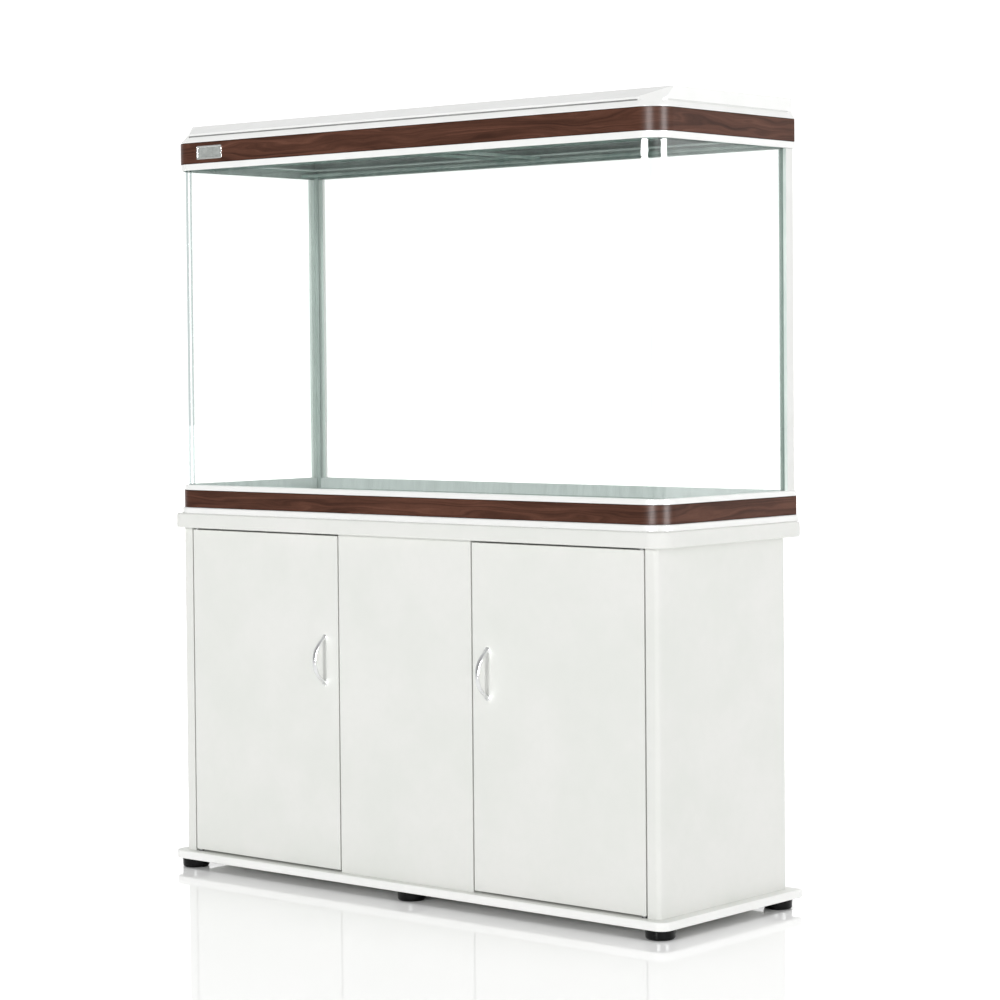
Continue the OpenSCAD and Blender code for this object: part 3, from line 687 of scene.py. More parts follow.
def make_boards():
    """The plain boards of the cabinet and its doors, each with softly broken edges."""
    broken = 0.8 * MM
    side_round = 9 * MM
    radii = {
        "right_side": (broken, side_round, broken, broken),
        "left_side": (side_round, broken, broken, broken),
    }
    for node in ("left_side", "right_side", "centre_panel", "left_shelf", "left_door", "right_door"):
        lo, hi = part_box(node)
        bm = bmesh.new()
        add_block(bm, lo, hi, broken, radii.get(node))
        make(node + "_board", bm, WHITE_BOARD, node)


def make_plates():
    """The top and base plates, with rounded front corners and rounded edges."""
    for node, radius, edge in (("top_plate", 26 * MM, 3.5 * MM), ("base_plate", 13 * MM, 3 * MM)):
        lo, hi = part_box(node)
        out = hi.x - HALF_W
        bm = bmesh.new()
        loft(bm, slab_rows(lambda inset: plan(inset - out, inset, radius), lo.z, hi.z, edge))
        # Painted light: the base plate's upright faces take the lighter edging.
        lightened_edges = node == "base_plate"
        finishes = [WHITE_BOARD, WHITE_EDGING_PAINTED_LIGHT]
        make(node + "_board", bm, finishes, node, lambda f: int(lightened_edges and abs(f.normal.z) < 0.9))


def make_partitions():
    """The two partitions, each with a notch for hoses at the back."""
    notch_depth = 80 * MM
    for node in ("left_partition", "right_partition"):
        lo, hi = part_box(node)
        outline = [
            (lo.y, lo.z), (hi.y, lo.z), (hi.y, HOSE_LOW), (hi.y - notch_depth, HOSE_LOW, 8 * MM),
            (hi.y - notch_depth, HOSE_HIGH, 8 * MM), (hi.y, HOSE_HIGH), (hi.y, hi.z), (lo.y, hi.z),
        ]
        bm = bmesh.new()
        add_prism(bm, rounded(outline, 0.1 * MM, 4), "x", lo.x, hi.x, 0.5 * MM)
        make(node + "_board", bm, WHITE_BOARD, node)


def make_back_panel():
    """The back panel with its three hose holes, built from strips round the holes."""
    lo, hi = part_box("back_panel")
    hole_w = 120 * MM
    holes = [-370 * MM, 0.0, 370 * MM]
    xs = sorted([lo.x, hi.x] + [x + s * hole_w / 2 for x in holes for s in (-1, 1)])
    zs = [lo.z, HOSE_LOW, HOSE_HIGH, hi.z]
    bm = bmesh.new()
    grid = [[bm.verts.new((x, hi.y, z)) for z in zs] for x in xs]
    for i in range(len(xs) - 1):
        for j in range(3):
            if j == 1 and i % 2 == 1:
                continue
            bm.faces.new((grid[i][j], grid[i + 1][j], grid[i + 1][j + 1], grid[i][j + 1]))
    drawn = bmesh.ops.extrude_face_region(bm, geom=list(bm.faces))["geom"]
    moved = [v for v in drawn if isinstance(v, bmesh.types.BMVert)]
    bmesh.ops.translate(bm, vec=(0, lo.y - hi.y, 0), verts=moved)
    bmesh.ops.recalc_face_normals(bm, faces=bm.faces)
    bevel_sharp(bm, 0.6 * MM)
    make("back_panel_board", bm, WHITE_BOARD, "back_panel")


def add_screw_head(bm, place, axis, r, h, slot_depth=0.9 * MM):
    """A domed screw head with a cross recess. axis points out of the head."""
    axis = Vector(axis)
    turn = Vector((0, 0, 1)).rotation_difference(axis)
    part = bmesh.new()
    rim = [(r * 0.96, 0.0), (r, h * 0.35), (r * 0.9, h * 0.75), (r * 0.7, h)]
    rings = [[part.verts.new((x, y, z)) for x, y in arc((0, 0), each, 0, 360, 24)[:-1]] for each, z in rim]
    for a, b in zip(rings, rings[1:]):
        for j in range(24):
            k = (j + 1) % 24
            part.faces.new((a[j], a[k], b[k], b[j]))
    part.faces.new(list(reversed(rings[0])))
    arm, half = r * 0.5, r * 0.11
    corner = [(half, half), (half, arm), (-half, arm)]
    cross = []
    for quarter in range(4):
        spin = Matrix.Rotation(math.radians(90 * quarter), 2)
        cross += [spin @ Vector(p) for p in corner[:2]]
        cross.append(spin @ Vector(corner[2]))
    top = [part.verts.new((x, y, h)) for x, y in cross]
    floor = [part.verts.new((x * 0.6, y * 0.6, h - slot_depth)) for x, y in cross]
    count = len(cross)
    edges = [part.edges.new((top[j], top[(j + 1) % count])) for j in range(count)]
    edges += [part.edges.get((rings[-1][j], rings[-1][(j + 1) % 24])) for j in range(24)]
    bmesh.ops.triangle_fill(part, edges=edges, use_beauty=True)
    for j in range(count):
        k = (j + 1) % count
        part.faces.new((top[j], top[k], floor[k], floor[j]))
    part.faces.new(floor)
    bmesh.ops.transform(part, matrix=Matrix.Translation(place) @ turn.to_matrix().to_4x4(), verts=part.verts)
    join(bm, part)


def islands(node):
    """(lowest corner, highest corner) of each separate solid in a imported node."""
    bm = bmesh.new()
    bm.from_mesh(frame["nodes"][node].data)
    bmesh.ops.remove_doubles(bm, verts=bm.verts, dist=0.01 * MM)
    left = set(bm.verts)
    found = []
    while left:
        todo = [left.pop()]
        group = list(todo)
        while todo:
            for edge in todo.pop().link_edges:
                for vertex in edge.verts:
                    if vertex in left:
                        left.remove(vertex)
                        todo.append(vertex)
                        group.append(vertex)
        lo = Vector([min(v.co[i] for v in group) for i in range(3)])
        hi = Vector([max(v.co[i] for v in group) for i in range(3)])
        found.append((lo, hi))
    bm.free()
    return sorted(found, key=lambda pair: (round(pair[0].x, 4), round(pair[0].y, 4), round(pair[0].z, 4)))


def make_screws():
    """Every group of screws, with real heads on plain shanks."""
    down, rearward = (0, 0, -1), (0, 1, 0)
    # where the head looks, head radius and height, shank radius in millimetres
    groups = {
        "base_screws": (down, 5.0, 0.6, 2.5),
        "foot_screws": (down, 5.5, 2.6, 2.2),
        "back_screws": (rearward, 3.6, 0.5, 1.8),
        "cover_screws": (down, 3.2, 2.2, 1.6),
        "left_handle_screws": (rearward, 4.5, 2.2, 2.0),
        "right_handle_screws": (rearward, 4.5, 2.2, 2.0),
    }
    for node, (axis, head_r, head_h, shank_r) in groups.items():
        bm = bmesh.new()
        for lo, hi in islands(node):
            middle = (lo + hi) / 2
            way = Vector(axis)
            depth = abs((hi - lo).dot(way))
            outer = middle + way * (depth / 2 - head_h * MM)
            add_screw_head(bm, outer, axis, head_r * MM, head_h * MM, min(head_h * 0.7, 1.2) * MM)
            body = soft_cylinder(shank_r * MM, depth - head_h * MM, 0.3 * MM)
            add_turned(bm, body, middle - way * depth / 2, axis, 20)
        make(node + "_turned", bm, ZINC, node)


def make_feet():
    """Round gloss feet with a stepped top and a recess for the screw."""
    edge, recess_r, recess_h = 4.5 * MM, 8.5 * MM, 6 * MM
    bm = bmesh.new()
    for lo, hi in islands("feet"):
        r, h = (hi.x - lo.x) / 2, hi.z
        core = r - 0.6 * MM - edge
        profile = [(0, recess_h), (recess_r - 0.5 * MM, recess_h)]
        profile += [(recess_r, recess_h - 0.5 * MM), (recess_r, 0.6 * MM), (recess_r + 0.6 * MM, 0)]
        profile += [(core + edge * sine, edge - edge * cosine) for sine, cosine in quarter(8)]
        profile += [(r - 0.3 * MM, h * 0.55), (r, h - 3.6 * MM), (r, h - 0.7 * MM)]
        profile += [(r - 0.7 * MM, h), (0, h)]
        add_turned(bm, profile, ((lo.x + hi.x) / 2, (lo.y + hi.y) / 2, 0), steps=64)
    make("feet_turned", bm, BLACK, "feet")


def make_handles():
    """Chrome bow handles: a flattened bar that leaves the door almost squarely."""
    stations, around = 56, 24
    bar_half_w, bar_half_t = 4.5 * MM, 2.5 * MM
    end_margin = 4.8 * MM
    seat = in_mm([(0, -0.3), (5.6, -0.3), (5.6, 0.5), (5.1, 1.1), (4.4, 1.3), (0, 1.3)])
    for side in ("left", "right"):
        lo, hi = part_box(side + "_handle")
        middle = (lo + hi) / 2
        half_z = (hi.z - lo.z) / 2 - end_margin
        reach = hi.y - lo.y - bar_half_t
        line = []
        for i in range(stations + 1):
            a = math.pi * i / stations
            t = -math.cos(a)
            line.append(Vector((0, hi.y - reach * (1 - abs(t) ** 2.3) ** 0.92, middle.z + half_z * t)))
        bm = bmesh.new()
        rows = []
        for i, point in enumerate(line):
            ahead = line[min(i + 1, stations)] - line[max(i - 1, 0)]
            ahead.normalize()
            if i in (0, stations):
                ahead = Vector((0, -1, 0)) if i == 0 else Vector((0, 1, 0))
            out = ahead.cross(Vector((1, 0, 0)))
            end = abs(2 * i / stations - 1) ** 6
            half_w = bar_half_w + 0.3 * MM * end
            half_t = bar_half_t + 2.0 * MM * end
            row = []
            for k in range(around):
                a = 2 * math.pi * k / around
                across = math.copysign(abs(math.cos(a)) ** 0.8, math.cos(a)) * half_w
                through = math.copysign(abs(math.sin(a)) ** 0.8, math.sin(a)) * half_t
                row.append(Vector((middle.x, 0, 0)) + point + Vector((across, 0, 0)) + out * through)
            rows.append(row)
        loft(bm, rows)
        for s in (-1, 1):
            add_turned(bm, seat, (middle.x, hi.y, middle.z + s * half_z), (0, -1, 0), 32)
        make(side + "_handle_bow", bm, CHROME, side + "_handle", sharp=math.radians(45))


# ---------- tank ----------

def ring_rows(profile):
    """Rows round the tank for a closed profile of (inset, height) or (inset, back inset, height)."""
    rows = []
    for point in profile:
        inset, back, z = point if len(point) == 3 else (point[0], *point)
        rows.append([(x, y, z) for x, y in plan(inset, back)])
    return rows


def flush_back(profile, outer_limit):
    """Adds the back inset to a profile: what lies outside outer_limit is flush with the back."""
    return [(inset, inset if inset > outer_limit else 0.0, z) for inset, z in profile]


def make_base_frame():
    """The white frame under the tank, with its lip, the channel for the wood band and the rim."""
    lo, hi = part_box("tank_base_frame")
    band_lo, band_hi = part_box("base_wood_band")
    glass_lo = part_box("bottom_glass")[0]
    lip_out = hi.x - HALF_W
    channel, pocket, well = 2 * MM, 8.8 * MM, 45 * MM
    profile = rounded([
        (well, lo.z), (-lip_out, lo.z, 2.0 * MM), (-lip_out, band_lo.z, 3.0 * MM),
        (channel, band_lo.z, 0.1 * MM), (channel, band_hi.z, 0.1 * MM),
        (0.0, band_hi.z, 0.8 * MM), (0.0, hi.z, 2.4 * MM), (pocket, hi.z, 0.8 * MM),
        (pocket, glass_lo.z), (well, glass_lo.z),
    ], 0.8 * MM)
    bm = bmesh.new()
    loft(bm, ring_rows(flush_back(profile, channel + 1 * MM)), ring_rows=True)
    make("tank_base_frame_moulding", bm, WHITE_PLASTIC, "tank_base_frame")


# Along the run, so that the two bands do not show the same figure.
HOOD_GRAIN_SHIFT = 3.0


def make_wood_bands():
    """The two walnut bands, with softened edges. The grain follows the run of the strip."""
    thick, inner_edge = 2 * MM, 0.05 * MM
    for node in ("base_wood_band", "hood_wood_band"):
        lo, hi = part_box(node)
        edge = 0.7 * MM
        corners = [(0.0, lo.z), (0.0, hi.z), (thick, hi.z, inner_edge), (thick, lo.z, inner_edge)]
        profile = rounded(corners, edge)
        rows = [[(x, y, z) for x, y in front_run(inset)] for inset, z in profile]
        along = lengths(front_run(0.0))
        bm = bmesh.new()
        loft(bm, rows, ring_rows=True, ring_line=False)
        table = {}
        for row in rows:
            for place, run in zip(row, along):
                table[tuple(round(c, 6) for c in place)] = run
        offset = HOOD_GRAIN_SHIFT if node.startswith("hood") else 0.0

        def run_of(co, table=table, offset=offset, low=lo.z, high=hi.z):
            run = table.get(tuple(round(c, 6) for c in co))
            if run is None:
                near = min(table, key=lambda k: (k[0] - co.x) ** 2 + (k[1] - co.y) ** 2 + (k[2] - co.z) ** 2)
                run = table[near]
            return (run + offset, co.z, (co.z - low) / (high - low))

        make(node + "_strip", bm, WALNUT, node, run_of=run_of)


def make_glass():
    """The bent front and sides, the rear pane, the bottom pane and the braces, with ground edges."""
    lo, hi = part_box("bent_front_glass")
    outer = HALF_W - hi.x
    rear_lo, rear_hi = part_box("rear_glass")
    thick = rear_hi.y - rear_lo.y
    frame_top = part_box("tank_base_frame")[1].z
    hood_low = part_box("hood_frame")[0].z

    # Below the base frame's top the glass takes the bonded finish with painted shade.
    def upright_choice(face):
        if abs(face.normal.z) > 0.3:
            return 1
        return 2 if face.calc_center_median().z < frame_top - 1 * MM else 0

    heights = [lo.z, frame_top - 0.2 * MM, hood_low + 1 * MM, hi.z - 1 * MM]
    bm = bmesh.new()
    profile = [(outer, z) for z in heights] + [(outer + 1 * MM, hi.z), (outer + thick - 1 * MM, hi.z)]
    profile += [(outer + thick, z) for z in reversed(heights)]
    rows = []
    for inset, z in profile:
        line = front_run(inset)
        line[0] = (line[0][0], rear_hi.y)
        line[-1] = (line[-1][0], rear_hi.y)
        rows.append([(x, y, z) for x, y in line])
    loft(bm, rows, ring_rows=True, ring_line=False)

    def bent_choice(face):
        if face.normal.y > 0.9 and face.calc_center_median().y > rear_hi.y - 1 * MM:
            return 1
        bent = min(abs(face.normal.x), abs(face.normal.y)) > 0.02
        return upright_choice(face) or (3 if bent else 0)

    finishes = [PANE, GLASS_EDGE, BASE_BOND_WITH_PAINTED_SHADE, BEND]
    make("bent_front_glass_pane", bm, finishes, "bent_front_glass", bent_choice)

    bm = bmesh.new()
    rows = []
    for z in [rear_lo.z, frame_top - 0.2 * MM, rear_hi.z]:
        rows.append([(x, y, z) for x, y in rectangle(rear_lo.x, rear_lo.y, rear_hi.x, rear_hi.y)])
    loft(bm, rows)

    def rear_choice(face):
        if abs(face.normal.x) > 0.9:
            return 1
        return upright_choice(face)

    make("rear_glass_pane", bm, [PANE, GLASS_EDGE, BASE_BOND_WITH_PAINTED_SHADE], "rear_glass", rear_choice)

    lo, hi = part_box("bottom_glass")
    bm = bmesh.new()
    inner = outer + thick
    loft(bm, slab_rows(lambda inset: plan(inner + inset, inner + inset), lo.z, hi.z, 0.8 * MM))

    # The bottom pane's underside takes the bonded finish with painted shade.
    def bottom_choice(face):
        if abs(face.normal.z) < 0.9:
            return 1
        return 0 if face.normal.z > 0 else 2

    make("bottom_glass_pane", bm, [PANE, GLASS_EDGE, BASE_BOND_WITH_PAINTED_SHADE], "bottom_glass", bottom_choice)

    for node in ("front_brace", "rear_brace", "cross_brace"):
        lo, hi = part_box(node)
        bm = bmesh.new()
        add_block(bm, lo, hi, 0.8 * MM)
        make(node + "_pane", bm, [BRACE, GLASS_EDGE], node, lambda f: 0 if abs(f.normal.z) > 0.9 else 1)


def make_seams():
    """Hollow-smoothed silicone beads round the bottom and up both rear corners."""
    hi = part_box("silicone_seams")[1]
    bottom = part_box("bottom_glass")[1].z
    inner = HALF_W - hi.x
    rear_y = hi.y
    bead = 6 * MM
    hollow = [(bead - bead * sine, bead - bead * cosine) for sine, cosine in quarter(6)]
    bm = bmesh.new()
    loft(bm, ring_rows([(inner, bottom)] + [(inner + u, bottom + v) for u, v in hollow]), ring_rows=True)
    for s in (-1, 1):
        x = s * hi.x
        curve = [(x - s * u, rear_y - v) for u, v in hollow]
        add_prism(bm, [(x, rear_y)] + curve, "z", bottom, hi.z)
    make("silicone_beads", bm, SEAL, "silicone_seams")


def make_corner_trims():
    """White angle trims outside both rear corners. Behind the glass they are bonded, and those faces carry painted
    shade and a painted glow.
    """
    for side, s in (("left", -1), ("right", 1)):
        lo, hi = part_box(side + "_corner_trim")
        thick = 7 * MM
        outer = hi.x if s > 0 else lo.x
        inner = lo.x if s > 0 else hi.x
        edge = 1.2 * MM
        outline = rounded([
            (outer, hi.y, 2.0 * MM), (inner, hi.y, edge), (inner, hi.y - thick, 0.2 * MM),
            (outer - s * thick, hi.y - thick, 0.1 * MM), (outer - s * thick, lo.y, 0.2 * MM),
            (outer, lo.y, edge),
        ], edge, 4)
        bm = bmesh.new()
        add_prism(bm, outline, "z", lo.z, hi.z, 0)

        def choice(face, s=s, outer=outer, thick=thick):
            middle = face.calc_center_median()
            on_side = face.normal.x * s < -0.9 and abs(middle.x - outer) < thick + 0.3 * MM
            return 1 if on_side or face.normal.y < -0.9 else 0

        make(side + "_corner_trim_angle", bm, [TRIM_PLASTIC, BOND_WITH_PAINTED_SHADE_AND_GLOW], side + "_corner_trim", choice)


# ---------- hood ----------

def inset_of(place):
    """How far a point lies inside the outline of the wood bands, also round the front corners."""
    x, y = abs(place.x), place.y
    corner_x, corner_y = HALF_W - CORNER_R, FRONT + CORNER_R
    if x > corner_x and y < corner_y:
        return CORNER_R - math.hypot(x - corner_x, corner_y - y)
    return min(HALF_W - x, y - FRONT, BACK - y)


COVER_LO, COVER_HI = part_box("hood_cover")
SHOULDER_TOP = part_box("hood_frame")[1].z
COVER_IN = HALF_W - COVER_HI.x
SLOPE_D, SLOPE_H = 49 * MM, 19.5 * MM
SLOPE_Y = FRONT + COVER_IN + SLOPE_D
SLOPE_ANGLE = math.atan(SLOPE_H / SLOPE_D)
FACET_POINT = Vector((HALF_W - COVER_IN, SLOPE_Y, COVER_HI.z))
FACET_LEAN = math.radians(52)
FACET_TURN = math.radians(-54)


def facet_normal(side):
    across = math.sin(FACET_LEAN)
    x, y = across * math.cos(FACET_TURN), across * math.sin(FACET_TURN)
    return Vector((side * x, y, math.cos(FACET_LEAN)))


def slice_off(bm, point, normal):
    """Cuts away what lies beyond a plane and closes the cut."""
    geometry = list(bm.verts) + list(bm.edges) + list(bm.faces)
    plane = {"plane_co": point, "plane_no": normal, "dist": 1e-6}
    cut = bmesh.ops.bisect_plane(bm, geom=geometry, clear_outer=True, **plane)
    edges = [e for e in cut["geom_cut"] if isinstance(e, bmesh.types.BMEdge)]
    if edges:
        bmesh.ops.edgeloop_fill(bm, edges=edges)


def cover_solid(inset, floor):
    """The cover's closed form moved in by inset: upright sides, a front slope and two corner facets."""
    bm = bmesh.new()
    rows = [[(x, y, z) for x, y in plan(COVER_IN + inset, inset)] for z in (floor, COVER_HI.z - inset)]
    loft(bm, rows)
    normal = Vector((0, -math.sin(SLOPE_ANGLE), math.cos(SLOPE_ANGLE)))
    slice_off(bm, Vector((0, SLOPE_Y, COVER_HI.z)) - normal * inset, normal)
    for side in (-1, 1):
        point = Vector((side * FACET_POINT.x, FACET_POINT.y, FACET_POINT.z))
        normal = facet_normal(side)
        slice_off(bm, point - normal * inset, normal)
    return bm


def cutter(name, bm):
    """A hidden object that a Boolean takes away."""
    mesh = bpy.data.meshes.new(name)
    bmesh.ops.recalc_face_normals(bm, faces=bm.faces)
    bm.to_mesh(mesh)
    bm.free()
    tool = bpy.data.objects.new(name, mesh)
    scene.collection.objects.link(tool)
    return tool


def carved(bm, cutters):
    """The bmesh with each cutter taken away, exactly."""
    base = cutter("carving", bm)
    for tool in cutters:
        step = base.modifiers.new("take_away", "BOOLEAN")
        step.object = tool
        step.operation = "DIFFERENCE"
        step.solver = "EXACT"
    bpy.context.view_layer.update()
    evaluated = base.evaluated_get(bpy.context.evaluated_depsgraph_get())
    result = bmesh.new()
    result.from_mesh(evaluated.to_mesh())
    evaluated.to_mesh_clear()
    for tool in [base, *cutters]:
        mesh = tool.data
        bpy.data.objects.remove(tool)
        bpy.data.meshes.remove(mesh)
    return result


def block_cutter(name, lo, hi):
    bm = bmesh.new()
    corners = rectangle(lo[0], lo[1], hi[0], hi[1])
    loft(bm, [[(x, y, z) for x, y in corners] for z in (lo[2], hi[2])])
    return cutter(name, bm)


def make_hood_frame():
    """The hood's frame: rim, channel for the wood band, leaning shoulder, inner ledge and rear wall."""
    lo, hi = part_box("hood_frame")
    band_lo, band_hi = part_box("hood_wood_band")
    channel, wall, ledge_in, deep = 2 * MM, 4.5 * MM, 30 * MM, 9 * MM
    ledge_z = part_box("bent_front_glass")[1].z + 0.3 * MM
    ledge_top = ledge_z + 3 * MM
    profile = rounded([
        (0.0, lo.z, 2.2 * MM), (0.0, band_lo.z, 0.8 * MM),
        (channel, band_lo.z, 0.1 * MM), (channel, band_hi.z, 0.1 * MM),
        (0.0, band_hi.z, 0.6 * MM), (0.0, band_hi.z + 2 * MM, 3 * MM),
        (COVER_IN, hi.z, 1.2 * MM), (deep, hi.z, 0.5 * MM),
        (deep, band_hi.z, 0.5 * MM), (wall, band_hi.z, 0.5 * MM),
        (wall, ledge_top), (ledge_in, ledge_top, 1 * MM),
        (ledge_in, ledge_z, 1 * MM), (wall, ledge_z), (wall, lo.z, 0.8 * MM),
    ], 0.8 * MM)
    rows = []
    for inset, z in profile:
        inside = inset > COVER_IN + 0.5 * MM or (inset > channel + 0.5 * MM and z < band_hi.z + 1 * MM)
        back = inset if inside else 0.0
        radius = CORNER_R + 14 * MM if inset > COVER_IN + 1 * MM and z > band_hi.z - 1 * MM else CORNER_R
        rows.append([(x, y, z) for x, y in plan(inset, back, radius)])
    bm = bmesh.new()
    loft(bm, rows, ring_rows=True)
    bmesh.ops.recalc_face_normals(bm, faces=bm.faces)
    for side in (-1, 1):
        slice_off(bm, Vector((side * FACET_POINT.x, FACET_POINT.y, FACET_POINT.z)), facet_normal(side))
    for screw_lo, screw_hi in islands("cover_screws"):
        x, y = (screw_lo.x + screw_hi.x) / 2, (screw_lo.y + screw_hi.y) / 2
        wall_y = FRONT + 6 * MM if y < 0 else BACK - 6 * MM
        y0, y1 = sorted((wall_y, y + (7 * MM if y < 0 else -7 * MM)))
        add_block(bm, (x - 8 * MM, y0, hi.z - 3 * MM), (x + 8 * MM, y1, hi.z), 0.4 * MM)

    # Painted shade: the frame's top face under the cover gets the groove finish, and its inner faces get the
    # darker shaded plastic.
    def choice(face):
        middle = face.calc_center_median()
        if face.normal.z > 0.9 and middle.z > hi.z - 0.3 * MM:
            return 2
        if max(face.normal.dot(facet_normal(side)) for side in (-1, 1)) > 0.95:
            return 0
        return 1 if inset_of(middle) > wall - 0.3 * MM and middle.z < hi.z - 1 * MM else 0

    make("hood_frame_moulding", bm, [WHITE_PLASTIC, SHADED, PAINTED_GROOVE_SHADE], "hood_frame", choice)


def make_hood_cover():
    """The moulded cover: a thin shell with a shadow groove, bosses, and a rebated opening for the lid."""
    wall = 3 * MM
    lid_lo, lid_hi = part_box("feeding_lid")
    hinge_y = hinge_line().y
    bm = cover_solid(0.0, COVER_LO.z)

    def off_the_floor(edge):
        low, high = sorted(v.co.z for v in edge.verts)
        return low > COVER_LO.z + 1 * MM or high - low > 1 * MM

    bevel_sharp(bm, 1.4 * MM, 3, 14, [e for e in bm.edges if off_the_floor(e)])
    groove_h, groove_in, groove_half = 2.5 * MM, 2.5 * MM, 554 * MM
    side_start, side_end = FRONT + 38 * MM, BACK - 14 * MM
    groove_z = COVER_LO.z
    y_front = FRONT + COVER_IN
    x_side = HALF_W - COVER_IN
    inner = cover_solid(wall, COVER_LO.z - 1 * MM)
    cutters = [cutter("inside", inner)]
    low, high = groove_z - 1 * MM, groove_z + groove_h
    front_groove = (-groove_half, y_front - 5 * MM, low), (groove_half, y_front + groove_in, high)
    cutters.append(block_cutter("front_groove", *front_groove))
    for s in (-1, 1):
        x0, x1 = sorted((s * (x_side - groove_in), s * (x_side + 5 * MM)))
        cutters.append(block_cutter("side_groove", (x0, side_start, low), (x1, side_end, high)))
    gap = 2 * MM
    top = COVER_HI.z
    lid_back = hinge_y - 5 * MM
    opening = (lid_lo.x - gap, lid_lo.y - gap, top - wall), (lid_hi.x + gap, lid_back + gap, top + 9 * MM)
    cutters.append(block_cutter("opening", *opening))
    shell = carved(bm, cutters)
    rest = bmesh.new()
    rim_w, rim_h = 8 * MM, 6 * MM
    x1, y0, y1 = lid_hi.x + gap + rim_w, lid_lo.y - gap - rim_w, hinge_y + rim_w
    for_rim = rectangle(-x1, y0, x1, y1)
    loft(rest, [[(x, y, z) for x, y in for_rim] for z in (top - wall - rim_h, top - wall)])
    below = top - 20 * MM
    well_lo = lid_lo.x + rim_w, lid_lo.y + rim_w, below
    well = block_cutter("well", well_lo, (lid_hi.x - rim_w, lid_back - rim_w / 2, top))
    pockets = []
    pocket_half = 31.5 * MM
    for x in hinge_stations():
        pocket_lo = x - pocket_half, lid_back - 8 * MM, below
        pockets.append((pocket_lo, (x + pocket_half, hinge_y + 4.5 * MM, top + 10 * MM)))
    rest = carved(rest, [well] + [block_cutter("pocket", lo, hi) for lo, hi in pockets])
    bmesh.ops.recalc_face_normals(rest, faces=rest.faces)
    bevel_sharp(rest, 0.4 * MM)
    shell = carved(shell, [block_cutter("pocket", lo, hi) for lo, hi in pockets])
    join(shell, rest)
    for x in hinge_stations():
        for s in (-1, 1):
            add_ear(shell, x + s * 23 * MM, 15 * MM, hinge_line(), 6 * MM, -1)
    for lo, hi in islands("cover_screws"):
        y = (lo.y + hi.y) / 2
        boss = soft_cylinder(5 * MM, 9 * MM if y < 0 else 23.5 * MM, 0.5 * MM)
        add_turned(shell, boss, ((lo.x + hi.x) / 2, y, SHOULDER_TOP), steps=24)

    # Painted shade: the front faces of the groove get the groove finish, and the cover's underside gets the darker
    # shaded plastic.
    def choice(face):
        middle = face.calc_center_median()
        recessed = inset_of(middle) > COVER_IN + 0.6 * MM
        if middle.z < groove_z + groove_h + 0.3 * MM and recessed:
            return 2 if middle.y < y_front + 12 * MM else 0
        return 1 if face.normal.z < -0.5 and recessed else 0

    finishes = [WHITE_PLASTIC, SHADED, PAINTED_GROOVE_SHADE]
    make("hood_cover_shell", shell, finishes, "hood_cover", choice, sharp=math.radians(22))


def hinge_line():
    """A point on the lid's hinge axis."""
    joint = next(j for j in frame["joints"] if j["name"] == "lid_hinge")
    return Vector(joint["pos_m"])


def hinge_stations():
    """The middles of the lid's three hinges."""
    return [(lo.x + hi.x) / 2 for lo, hi in islands("lid_hinge_pins")]


def add_ear(bm, x, width, axis, reach, down):
    """A round knuckle with a foot that runs back or forward to the sheet it belongs to."""
    r = 3.2 * MM
    outline = arc((axis.y, axis.z), r, 0, 360, 28)[:-1]
    add_prism(bm, outline, "x", x - width / 2, x + width / 2, 0.25 * MM)
    low, high = (axis.z - r - 3 * MM, axis.z) if down < 0 else (axis.z + 0.6 * MM, axis.z + r)
    y0, y1 = sorted((axis.y, axis.y + reach))
    add_block(bm, (x - width / 2, y0, low), (x + width / 2, y1, high), 0.3 * MM)


def make_lid():
    """The feeding lid with its finger notch, knuckles and two stiffening ribs underneath."""
    lo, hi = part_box("feeding_lid")
    axis = hinge_line()
    back = axis.y - 5 * MM
    notch_w, notch_d = 90 * MM, 9 * MM
    outline = rounded([
        (lo.x, lo.y), (-notch_w / 2, lo.y, 3 * MM), (-notch_w / 2, lo.y + notch_d, 6 * MM),
        (notch_w / 2, lo.y + notch_d, 6 * MM), (notch_w / 2, lo.y, 3 * MM),
        (hi.x, lo.y), (hi.x, back), (lo.x, back),
    ], 2 * MM, 5)
    bm = bmesh.new()
    add_prism(bm, outline, "z", hi.z - 2.8 * MM, hi.z, 0.5 * MM)
    for x in hinge_stations():
        add_ear(bm, x, 30 * MM, axis, -6 * MM, 1)
    rib_in, rib_t = 30 * MM, 2 * MM
    for y in (lo.y + 40 * MM, back - 35 * MM):
        rib_hi = hi.x - rib_in, y + rib_t, hi.z - 2.6 * MM
        add_block(bm, (lo.x + rib_in, y, hi.z - 6.5 * MM), rib_hi, 0.4 * MM)
    make("feeding_lid_sheet", bm, WHITE_PLASTIC, "feeding_lid")


